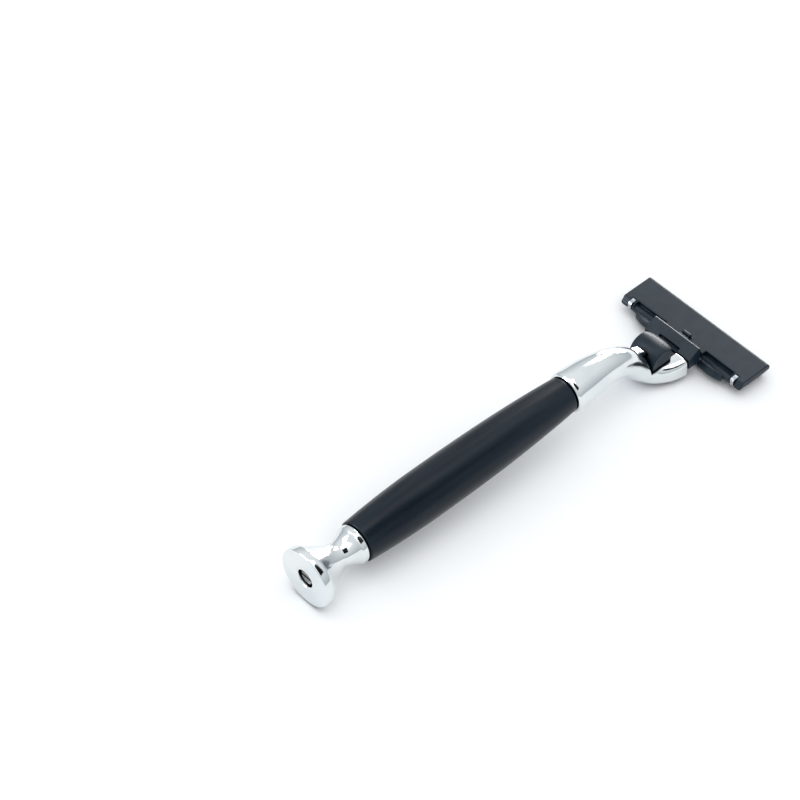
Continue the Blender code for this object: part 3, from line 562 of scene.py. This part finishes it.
def make_end_cap(chrome):
    """The turned end cap: a collar, a waist, a bell and a flat disc with a deep round recess."""
    low, high = span("end_cap")
    front, rear, face = high.x, low.x, high.y
    waist = front - CAP_WAIST_AT
    rim = rear + CAP_RIM_LENGTH
    bore = span("tie_rod")[1].y + ROD_CLEARANCE
    flare_start = front - CAP_COLLAR_LENGTH - 0.5
    flare = CAP_COLLAR_RADIUS - CAP_COLLAR_STEP - CAP_WAIST_RADIUS
    bell = face - CAP_RIM_LIP - CAP_WAIST_RADIUS
    outline = [(front, bore), (front, CAP_COLLAR_RADIUS), (front - CAP_COLLAR_LENGTH, CAP_COLLAR_RADIUS)]
    steps = 16
    for step in range(steps + 1):
        share = step / steps
        x = flare_start + (waist - flare_start) * share
        outline.append((x, CAP_WAIST_RADIUS + flare * (1.0 - share) ** 2))
    for step in range(1, steps + 1):
        share = step / steps
        outline.append((waist + (rim - waist) * share, CAP_WAIST_RADIUS + bell * share**1.35))
    outline += [(rim - 0.35, face), (rear, face), (rear, CAP_RECESS_RADIUS)]
    recess_end, hole_end = rear + CAP_RECESS_DEPTH, rear + CAP_SCREW_HOLE_END
    outline += [(recess_end, CAP_RECESS_RADIUS), (recess_end, CAP_SCREW_HOLE)]
    outline += [(hole_end, CAP_SCREW_HOLE), (hole_end, bore)]
    bm = turned(softened(outline, CAP_EDGE_ROUND, 5), 192)
    return piece("chrome_end_cap", as_mesh(bm), chrome, "chrome", "handle", "end_cap")


def make_cap_screw(steel):
    """A cheese-head screw at the bottom of the recess."""
    low, high = span("cap_screw")
    top, tip, head = low.x, high.x, high.y
    seat = top + SCREW_HEAD_DEPTH
    outline = [(top, 0.0), (top, head), (seat, head), (seat, SCREW_SHANK)]
    outline += [(tip - 0.3, SCREW_SHANK), (tip, 0.0)]
    bm = turned(softened(outline, 0.2, closed=False), 64)
    slot_width, slot_depth = SCREW_SLOT
    past = head + 0.5
    slot = block((top - 0.5, -past, -slot_width / 2), (top + slot_depth, past, slot_width / 2))
    mesh = shaped(bm, [("DIFFERENCE", slot)])
    return piece("slotted_screw", mesh, steel, "steel", "handle", "cap_screw")


def neck_station(position):
    """Centre (x, z), half width, half height and squareness at a position along the stations."""
    index = min(int(position), len(NECK_STATIONS) - 2)
    share = position - index
    before = NECK_STATIONS[max(index - 1, 0)]
    start, end = NECK_STATIONS[index], NECK_STATIONS[index + 1]
    after = NECK_STATIONS[min(index + 2, len(NECK_STATIONS) - 1)]
    values = []
    for p0, p1, p2, p3 in zip(before, start, end, after):
        slope_1, slope_2 = (p2 - p0) / 2, (p3 - p1) / 2
        cubic = (2 * share**3 - 3 * share**2 + 1) * p1 + (share**3 - 2 * share**2 + share) * slope_1
        values.append(cubic + (3 * share**2 - 2 * share**3) * p2 + (share**3 - share**2) * slope_2)
    return values


def superellipse(angle, power):
    across = abs(cos(angle)) ** (2.0 / power) * (1 if cos(angle) >= 0 else -1)
    up = abs(sin(angle)) ** (2.0 / power) * (1 if sin(angle) >= 0 else -1)
    return across, up


def make_neck(chrome):
    """The swan neck, with a tub at its end for the nose and a tongue behind the button."""
    sections = []
    spans = len(NECK_STATIONS) - 1
    for step in range(spans * NECK_SPAN_STEPS + 1):
        position = step / NECK_SPAN_STEPS
        x, z, half_width, half_height, power = neck_station(position)
        ahead = neck_station(min(position + 0.05, spans))
        behind = neck_station(max(position - 0.05, 0))
        lean = atan2(ahead[1] - behind[1], ahead[0] - behind[0])
        section = []
        for side in range(NECK_SIDES):
            across, up = superellipse(2.0 * pi * side / NECK_SIDES, power)
            rise = up * half_height
            section.append((x - rise * sin(lean), across * half_width, z + rise * cos(lean)))
        sections.append(section)
    front = NECK_STATIONS[-1][0] + 3.0
    foot = WALL_TOP - CUT_OVERLAP
    tongue = [(TONGUE_OUTLINE[-1][0], foot), (TONGUE_FRONT, foot), *TONGUE_OUTLINE]
    changes = [("DIFFERENCE", block((TONGUE_FRONT - CUT_OVERLAP, -9.0, WALL_TOP), (front, 9.0, 3.0)))]
    for low_y, high_y in both_sides(TONGUE_HALF_WIDTH - CUT_OVERLAP, 9.0):
        notch = block((NOTCH_BACK, low_y, WALL_TOP), (TONGUE_FRONT + 1.0, high_y, 3.0))
        changes.append(("DIFFERENCE", notch))
    tub = block((TUB_BACK, -TUB_HALF_WIDTH, TUB_FLOOR), (front, TUB_HALF_WIDTH, 0.0))
    changes.append(("DIFFERENCE", tub))
    rod = span("tie_rod")[1]
    bore, bore_end = rod.y + ROD_CLEARANCE, rod.x + ROD_CLEARANCE
    socket = turned([(-2.0, 0.0), (-2.0, bore), (bore_end, bore), (bore_end, 0.0)], 48)
    changes.append(("DIFFERENCE", socket))
    changes.append(("UNION", extruded(tongue, -TONGUE_HALF_WIDTH, TONGUE_HALF_WIDTH)))
    mesh = shaped(lofted(sections), changes, voxel=0.14, smooth=7)
    return piece("chrome_neck", mesh, chrome, "chrome", "handle", "neck", sharp=None)


def make_nose(black):
    """The docking nose in the tub, with a channel for the plunger and a post for the springs."""
    low, high = span("nose_insert")
    outline = [(low.x, low.z), (high.x - NOSE_CHAMFER, low.z), (high.x, low.z + NOSE_CHAMFER)]
    outline += [(high.x, NOSE_TIP_TOP), (NOSE_STEP_X, NOSE_TIP_TOP)]
    outline += [(NOSE_STEP_X, NOSE_TOP), (low.x, NOSE_TOP)]
    channel_low = (low.x + CHANNEL_WALL, -CHANNEL_HALF_WIDTH, CHANNEL_FLOOR)
    changes = [("DIFFERENCE", block(channel_low, (high.x + 2.0, CHANNEL_HALF_WIDTH, 0.0)))]
    post_low = (POST_X[0], -POST_HALF_WIDTH, NOSE_TOP - 0.25)
    changes.append(("UNION", block(post_low, (POST_X[1], POST_HALF_WIDTH, high.z))))
    foot_low = (POST_FOOT_X[0], -POST_FOOT_HALF_WIDTH, NOSE_TOP - POST_FOOT_SINK)
    changes.append(("UNION", block(foot_low, (POST_FOOT_X[1], POST_FOOT_HALF_WIDTH, NOSE_TOP))))
    mesh = shaped(extruded(outline, low.y, high.y), changes, voxel=0.1, smooth=3, keep=0.35)
    return piece("docking_nose", mesh, black, "black_plastic", "handle", "nose_insert", sharp=None)


def make_coil(name, node, steel, coil_radius, turns):
    """A helix of round wire along the handle."""
    low, high = span(node)
    centre_z = (low.z + high.z) / 2
    steps, sides = turns * COIL_STEPS_PER_TURN, 10
    length = high.x - low.x - 2 * COIL_WIRE
    sections = []
    for step in range(steps + 1):
        angle = 2.0 * pi * step / COIL_STEPS_PER_TURN
        x = low.x + COIL_WIRE + length * step / steps
        section = []
        for side in range(sides):
            around = 2.0 * pi * side / sides
            out = coil_radius + COIL_WIRE * cos(around)
            along = x + COIL_WIRE * sin(around)
            section.append((along, out * cos(angle), centre_z + out * sin(angle)))
        sections.append(section)
    return piece(name, as_mesh(lofted(sections)), steel, "steel", "handle", node)


# ---------------------------------------------------------------- the button and the plunger


def make_button(black):
    """The thumb button: a crowned dome, cut flat in front, with a slot for the tongue."""
    low, high = span("release_button")
    half_width, sole, front_x = high.y, low.z, high.x
    sections = []
    count = 40
    for step in range(count + 1):
        across = -1.0 + 2.0 * step / count
        radius = BUTTON_RADIUS * (1.0 - BUTTON_END_SHRINK * abs(across) ** 3)
        front = front_x - BUTTON_CORNER * across**6
        front_angle = degrees(acos((front - BUTTON_X) / radius))
        outline = [(BUTTON_X - radius, sole), (front, sole)]
        outline += arc((BUTTON_X, BUTTON_Z), radius, front_angle, 180.0, 48)
        sections.append([(x, across * half_width, z) for x, z in outline])
    half = TONGUE_HALF_WIDTH + BUTTON_SLOT_GAP
    low_x, high_x = BUTTON_HOLLOW_X
    side_top, middle_top = [BUTTON_Z + rise for rise in BUTTON_HOLLOW_RISE]
    hollow = [(low_x, sole - 1.0), (high_x, sole - 1.0), (high_x, side_top)]
    hollow += [(BUTTON_X, middle_top), (low_x, side_top)]
    changes = [("DIFFERENCE", extruded(hollow, -half, half))]
    slot = block((TONGUE_FRONT - 4.0, -half, sole - 1.0), (TONGUE_FRONT + BUTTON_SLOT_GAP, half, 0.0))
    changes.append(("DIFFERENCE", slot))
    mesh = shaped(lofted(sections), changes, voxel=0.09, smooth=4, keep=0.5)
    return piece("thumb_button", mesh, black, "black_plastic", "button", "release_button", sharp=None)


def make_plunger(black):
    """The spring-loaded pusher, with a rounded tip and a peg for its spring."""
    low, high = span("plunger")
    corners = [(PLUNGER_BACK, low.z), (high.x, low.z), (high.x, high.z), (PLUNGER_BACK, high.z)]
    bar = extruded(softened(corners, PLUNGER_ROUND, 6), -high.y, high.y)
    root = PLUNGER_BACK + 0.4
    peg = [(low.x, 0.0), (low.x, PLUNGER_PEG_RADIUS), (root, PLUNGER_PEG_RADIUS), (root, 0.0)]
    mesh = shaped(bar, [("UNION", turned(peg, 24, (low.z + high.z) / 2))])
    return piece("return_plunger", mesh, black, "black_plastic", "pusher", "plunger")


# ---------------------------------------------------------------- the connector and the cartridge


def bearing_arm(low_y, high_y):
    """A curved arm round the pivot, fullest at its middle and thin at its tip."""
    pivot = (PIVOT_X, PIVOT_Z)
    inner = arc(pivot, BEARING_IN, BEARING_TURN[1], BEARING_TURN[0], 24)
    stations = 32
    sections = []
    for step in range(stations + 1):
        y = low_y + (high_y - low_y) * step / stations
        beyond = abs(y) - BEARING_PEAK_Y
        if beyond < 0.0:
            share, drop = beyond / (BEARING_PEAK_Y - BEARING_Y[0]), BEARING_ROOT_DROP
        else:
            share, drop = beyond / (BEARING_Y[1] - BEARING_PEAK_Y), BEARING_TIP_DROP
        outer = arc(pivot, BEARING_OUT - drop * share**2, *BEARING_TURN, 24)
        sections.append([(x, y, z) for x, z in outer + inner])
    return lofted(sections)


def make_saddle(black):
    """The connector: a sloping slab over a socket, with an arm round the pivot on each side."""
    low = span("connector")[0]
    back = low.x
    slope = [(back, BLOCK_UNDERSIDE), (BLOCK_FRONT, BLOCK_UNDERSIDE)]
    slope += [(BLOCK_FRONT, BLOCK_EDGE_FRONT - BLOCK_CHAMFER / 2)]
    slope += [(BLOCK_FRONT - BLOCK_CHAMFER, BLOCK_EDGE_FRONT), (back, BLOCK_EDGE_BACK)]
    box = [(back, low.z + 0.6), (back + 0.6, low.z), (BLOCK_FRONT, low.z)]
    box += [(BLOCK_FRONT, BLOCK_UNDERSIDE + 1.0), (back, BLOCK_UNDERSIDE + 1.0)]
    changes = [("UNION", extruded(box, -SOCKET_BOX_HALF_WIDTH, SOCKET_BOX_HALF_WIDTH))]
    for low_y, high_y in both_sides(*BEARING_Y):
        changes.append(("UNION", bearing_arm(low_y, high_y)))
    for low_y, high_y in both_sides(BEARING_Y[0] - 0.05, BLOCK_HALF_WIDTH):
        knuckle_low = (BLOCK_FRONT - KNUCKLE_REACH, low_y, BLOCK_UNDERSIDE)
        knuckle_high = (BLOCK_FRONT + KNUCKLE_REACH, high_y, KNUCKLE_TOP)
        changes.append(("UNION", block(knuckle_low, knuckle_high)))
    dish_front, dish_half, dish_floor = BLOCK_DISH
    changes.append(("DIFFERENCE", block((back - 1.0, -dish_half, dish_floor), (dish_front, dish_half, 0.0))))
    front, half, floor, roof = SOCKET
    changes.append(("DIFFERENCE", block((back - 1.0, -half, floor), (front, half, roof))))
    window_low = (front - 0.5, -CHANNEL_HALF_WIDTH, CHANNEL_FLOOR - 0.1)
    changes.append(("DIFFERENCE", block(window_low, (BLOCK_FRONT + 1.0, CHANNEL_HALF_WIDTH, roof))))
    slab = extruded(slope, -BLOCK_HALF_WIDTH, BLOCK_HALF_WIDTH)
    mesh = shaped(slab, changes, voxel=0.1, smooth=3, keep=0.4)
    body = "cartridge_mount"
    return piece("cartridge_saddle", mesh, black, "black_plastic", body, "connector", sharp=None)


def face_slot(low_u, high_u, low_depth, high_depth, half_length):
    """A cutter for a slot along the shaving face; its floor slopes from one depth to the other."""
    outline = [face_point(low_u, -1.0), face_point(high_u, -1.0)]
    outline += [face_point(high_u, high_depth), face_point(low_u, low_depth)]
    return extruded(outline, -half_length, half_length)


def make_cartridge_body(black):
    """The housing: a guard bar, a flat back, windows for the arms, a cam, and slots in its face."""
    high = span("blade_housing")[1]
    half_length, top_x = high.y, high.x
    insert_half = span("guard_fins")[1].y + SLOT_GAP
    clip_low, clip_high = span("clip_left")
    reach = PIVOT_X - GUARD[0]
    outline = arc((PIVOT_X, PIVOT_Z), reach, 180.0, 125.0, 16)
    outline += [(PIVOT_X - 0.5, HOUSING_BACK), (top_x - HOUSING_EDGE, HOUSING_BACK)]
    outline += [(top_x, HOUSING_BACK - HOUSING_EDGE), (top_x, CAP_EDGE[1] + CAP_NOSE_HEIGHT), CAP_EDGE]
    changes = [("DIFFERENCE", face_slot(*POCKET_U, *POCKET_DEPTHS, span("blade_1")[1].y + SLOT_GAP))]
    changes.append(("DIFFERENCE", face_slot(*FIN_SLOT_U, FIN_DEPTH, FIN_DEPTH, insert_half)))
    strip_slot = face_slot(*STRIP_SLOT_U, STRIP_SLOT_DEPTH, STRIP_SLOT_DEPTH, insert_half)
    changes.append(("DIFFERENCE", strip_slot))
    foot = END_TAPER_TOP - 6.0
    for side in (1, -1):
        edge = [(half_length, END_TAPER_TOP), (half_length + 3.0, END_TAPER_TOP)]
        edge += [(half_length + 3.0, foot), (half_length - 6.0 * END_TAPER, foot)]
        ends = [[(x, side * y, z) for y, z in edge] for x in (GUARD[0] - 2.0, top_x + 2.0)]
        changes.append(("DIFFERENCE", lofted(ends)))
    bar_side = arc((PIVOT_X, PIVOT_Z), reach + 0.05, 205.0, 160.0, 8)
    bar_side += arc((PIVOT_X, PIVOT_Z), WINDOW_BAR, 138.0, 60.0, 16)
    wall = PIVOT_X + 0.75
    window = bar_side + [(wall, bar_side[-1][1]), (wall, PIVOT_Z + 4.0)]
    window += [(PIVOT_X - 4.0, PIVOT_Z + 4.0), (PIVOT_X - 4.0, bar_side[0][1])]
    for low_y, high_y in both_sides(*WINDOW_Y):
        changes.append(("DIFFERENCE", extruded(window, low_y, high_y)))
    deep = CLIP_THICKNESS + SLOT_GAP
    before, tail, end_u = GUARD[0] - 1.0, CLIP_TAIL_X + SLOT_GAP, CLIP_END_U + 0.4
    groove = [(before, GUARD[1] - 4.0), face_point(end_u, -1.2), face_point(end_u, deep)]
    groove += [face_point(deep, deep), (GUARD[0] + deep, HOUSING_BACK - deep), (tail, HOUSING_BACK - deep)]
    groove += [(tail, HOUSING_BACK + 1.0), (before, HOUSING_BACK + 1.0)]
    for low_y, high_y in both_sides(clip_low.y - SLOT_GAP, clip_high.y + SLOT_GAP):
        changes.append(("DIFFERENCE", extruded(groove, low_y, high_y)))
    cam = [(CAM[0] + side * CAM_RADIUS, HOUSING_BACK - 0.3) for side in (1, -1)]
    cam += arc(CAM, CAM_RADIUS, 180.0, 0.0, 24)
    changes.append(("UNION", extruded(cam, -CAM_HALF_LENGTH, CAM_HALF_LENGTH)))
    base = extruded(outline, -half_length, half_length)
    mesh = shaped(base, changes, voxel=0.12, smooth=3, keep=0.35)
    return piece("cartridge_body", mesh, black, "black_plastic", "blade_unit", "blade_housing", sharp=None)


def raked(number, run, drop):
    """A point (x, z) of a numbered blade: run along the blade from its edge, drop below it."""
    u = BLADE_EDGE_U + BLADE_PITCH * (number - 1) + run * cos(BLADE_RAKE) - drop * sin(BLADE_RAKE)
    return face_point(u, run * sin(BLADE_RAKE) + drop * cos(BLADE_RAKE))


def make_blade(number, steel, body):
    """A strip ground on both sides to its edge."""
    node = "blade_%d" % number
    half = span(node)[1].y
    outline = [raked(number, run, drop) for run, drop in BLADE_SECTION]
    bm = extruded(outline, -half, half)
    return piece("razor_blade_%d" % number, as_mesh(bm), steel, "steel", body, node, sharp=12.0)


def make_fins(rubber):
    """Soft ridges along the guard, each with a round crest."""
    low, high = span("guard_fins")
    low_u, high_u = FIN_SLOT_U[0] + SLOT_GAP, FIN_SLOT_U[1] - SLOT_GAP
    steps = 64
    outline = [(low_u, FIN_DEPTH), (high_u, FIN_DEPTH)]
    for step in range(steps + 1):
        share = step / steps
        wave = abs(sin(pi * RIDGES * share)) ** 0.7
        outline.append((high_u + (low_u - high_u) * share, 0.25 - 0.4 * wave))
    bm = extruded([face_point(u, depth) for u, depth in outline], low.y, high.y)
    return piece("guard_ridges", as_mesh(bm), rubber, "rubber", "blade_unit", "guard_fins", sharp=60.0)


def make_strip(gel):
    """The lubricating strip, crowned across its face."""
    low, high = span("lubricating_strip")
    low_u, high_u = STRIP_SLOT_U[0] + SLOT_GAP, STRIP_SLOT_U[1] - SLOT_GAP
    steps = 24
    outline = [(low_u, STRIP_FOOT_DEPTH)]
    for step in range(steps + 1):
        share = step / steps
        outline.append((low_u + (high_u - low_u) * share, 0.12 * abs(2.0 * share - 1.0) ** 3))
    outline.append((high_u, STRIP_FOOT_DEPTH))
    bm = extruded([face_point(u, depth) for u, depth in outline], low.y, high.y)
    return piece("gel_strip", as_mesh(bm), gel, "gel", "blade_unit", "lubricating_strip")


def make_clip(side, aluminium):
    """A sheet clip with rounded bends that goes over the blades, round the guard and on to the back."""
    node = "clip_" + side
    low, high = span(node)
    outer_x = GUARD[0] + 0.05
    middle = CLIP_THICKNESS / 2
    path = [face_point(CLIP_END_U, middle - CLIP_PROUD), face_point(0.6, middle - CLIP_PROUD)]
    path += [(outer_x + middle, GUARD[1] + 0.25), (outer_x + middle, HOUSING_BACK - middle)]
    path.append((CLIP_TAIL_X, HOUSING_BACK - middle))
    route = [Vector(point) for point in softened(path, CLIP_BEND, 8, closed=False)]
    left, right = [], []
    for index, point in enumerate(route):
        along = (route[min(index + 1, len(route) - 1)] - route[max(index - 1, 0)]).normalized()
        out = Vector((-along.y, along.x)) * (middle - 0.01)
        left.append(tuple(point + out))
        right.append(tuple(point - out))
    bm = extruded(left + right[::-1], low.y, high.y)
    bmesh.ops.recalc_face_normals(bm, faces=bm.faces)
    rims = [edge for edge in bm.edges if edge.is_manifold and edge.calc_face_angle() > radians(60.0)]
    bmesh.ops.bevel(bm, geom=rims, offset=0.05, segments=2, affect="EDGES", clamp_overlap=True)
    return piece("foil_" + node, as_mesh(bm), aluminium, "aluminium", "blade_unit", node)


# ---------------------------------------------------------------- the studio


def make_floor():
    made = Surface("studio_floor", (0.95, 0.95, 0.95), 0.8, specular=0.1)
    cloud = made.noise(0.01)
    made.drive("Base Color", made.between(cloud, (0.945, 0.945, 0.945), (0.955, 0.955, 0.955)))
    half = 3.0
    bm = bmesh.new()
    corners = ((-half, -half), (half, -half), (half, half), (-half, half))
    bm.faces.new([bm.verts.new((x, y, 0.0)) for x, y in corners])
    mesh = as_mesh(bm)
    mesh.materials.append(made.material)
    floor = bpy.data.objects.new("studio_floor", mesh)
    floor.location.z = -0.0002
    bpy.context.collection.objects.link(floor)


def softbox(name, direction, distance, size, watts, colour=(1.0, 1.0, 1.0), sheen_only=True):
    """An area light that faces the razor from a direction; most of them only show as a sheen."""
    light = bpy.data.lights.new(name, "AREA")
    light.shape = "RECTANGLE"
    light.size, light.size_y = size
    light.energy = watts
    light.color = colour
    made = bpy.data.objects.new(name, light)
    towards = Vector(direction).normalized()
    made.location = towards * distance
    made.rotation_euler = towards.to_track_quat("Z", "Y").to_euler()
    made.visible_diffuse = not sheen_only
    bpy.context.collection.objects.link(made)


def dark_card(towards, from_point, distance, size):
    """A black card that only reflections see."""
    towards = Vector(towards).normalized()
    half = size / 2
    mesh = as_mesh(block((-half, -half, -0.0005), (half, half, 0.0005)))
    surface = Surface("black_card", (0.002, 0.002, 0.002), 0.9, specular=0.0)
    cloud = surface.noise(0.05)
    surface.drive("Roughness", surface.between(cloud, 0.85, 0.95))
    mesh.materials.append(surface.material)
    made = bpy.data.objects.new("black_card", mesh)
    made.location = Vector(from_point) + towards * distance
    made.rotation_euler = towards.to_track_quat("Z", "Y").to_euler()
    for kind in ("camera", "diffuse", "shadow"):
        setattr(made, "visible_" + kind, False)
    bpy.context.collection.objects.link(made)


def make_studio():
    """A pale sky that dims towards the horizon, with soft boxes for the long highlights."""
    world = bpy.data.worlds.new("studio")
    world.use_nodes = True
    tree = world.node_tree
    place = tree.nodes.new("ShaderNodeTexCoord")
    split = tree.nodes.new("ShaderNodeSeparateXYZ")
    height = tree.nodes.new("ShaderNodeMapRange")
    height.inputs["From Min"].default_value = 0.0
    height.inputs["From Max"].default_value = 0.7
    mix = tree.nodes.new("ShaderNodeMix")
    mix.data_type = "RGBA"
    mix.inputs["A"].default_value = (0.5, 0.54, 0.58, 1.0)
    mix.inputs["B"].default_value = (0.94, 0.97, 1.0, 1.0)
    tree.links.new(place.outputs["Generated"], split.inputs["Vector"])
    tree.links.new(split.outputs["Z"], height.inputs["Value"])
    tree.links.new(height.outputs["Result"], mix.inputs["Factor"])
    sky = tree.nodes["Background"]
    tree.links.new(mix.outputs["Result"], sky.inputs["Color"])
    sky.inputs["Strength"].default_value = 1.0
    bpy.context.scene.world = world
    softbox("key_box", (-0.1, -0.2, 1.0), 1.0, (1.0, 1.0), 3.4, sheen_only=False)
    softbox("grip_box", (0.74, 0.37, 0.56), 0.9, (0.26, 0.26), 2.2)
    softbox("block_box", (-0.42, 0.49, 0.76), 0.9, (0.35, 0.35), 1.3)
    softbox("back_box", (0.9, 0.5, 0.14), 0.9, (0.45, 0.2), 5.0)
    softbox("left_box", (-0.86, 0.49, 0.2), 0.8, (0.3, 0.24), 4.5, (0.78, 0.82, 1.0))
    dark_card((0.2, -0.55, 0.81), (-0.0555, 0.0, 0.0085), 0.3, 0.2)
    bpy.context.scene.view_settings.view_transform = "Standard"


def make_camera():
    data = bpy.data.cameras.new("camera")
    data.lens = CAMERA_LENS
    data.clip_start, data.clip_end = 0.01, 20.0
    made = bpy.data.objects.new("camera", data)
    flat = cos(CAMERA_ELEVATION)
    back = Vector((sin(CAMERA_AZIMUTH) * flat, -cos(CAMERA_AZIMUTH) * flat, sin(CAMERA_ELEVATION)))
    right = Vector((0.0, 0.0, 1.0)).cross(back).normalized()
    up = back.cross(right)
    level = Matrix((right, up, back)).transposed()
    turn = level @ Matrix.Rotation(CAMERA_ROLL, 3, "Z")
    made.matrix_world = Matrix.Translation(CAMERA_AIM + back * CAMERA_DISTANCE) @ turn.to_4x4()
    bpy.context.collection.objects.link(made)
    bpy.context.scene.camera = made


def build():
    make_camera()
    make_studio()
    make_floor()

    resin = make_resin()
    chrome = make_chrome()
    steel = make_steel("steel", (0.62, 0.63, 0.64), 0.28, (1.0, 0.05, 1.0))
    aluminium = make_steel("aluminium", (0.42, 0.44, 0.47), 0.24, (1.0, 0.08, 1.0))
    fibre = make_plastic("fibre", (0.035, 0.028, 0.024), (0.07, 0.056, 0.048), 0.8, 8.0)
    black = make_plastic("black_plastic", (0.004, 0.012, 0.021), (0.008, 0.019, 0.029), 0.4, specular=0.26)
    rubber = make_plastic("rubber", (0.02, 0.025, 0.04), (0.035, 0.042, 0.06), 0.65, 9.0)
    gel = make_gel()

    make_grip(resin)
    make_end_cap(chrome)
    # The screw's steel colour is painted dark, as painted shade at the bottom of the end cap's recess
    make_cap_screw(make_steel("recess_shaded_steel", (0.2, 0.2, 0.19), 0.35, (0.3, 1.0, 1.0)))
    make_neck(chrome)
    make_nose(black)
    make_coil("plunger_coil", "plunger_spring", steel, 0.5, 9)
    make_coil("button_coil", "button_spring", steel, 0.6, 5)
    make_button(black)
    make_plunger(black)
    make_saddle(black)
    make_cartridge_body(black)
    for number, body in ((1, "blade_a"), (2, "blade_b"), (3, "blade_c")):
        make_blade(number, steel, body)
    make_fins(rubber)
    make_strip(gel)
    for side in ("left", "right"):
        make_clip(side, aluminium)

    carried = {"rear_washer": fibre, "front_washer": fibre, "tie_rod": steel, "nose_pin": chrome}
    carried["ejector_plate"] = black
    for number in (1, 2, 3):
        carried["blade_support_%d" % number] = steel
    for node, surface in carried.items():
        slots = frame["nodes"][node].data.materials
        slots.clear()
        slots.append(surface)


build()
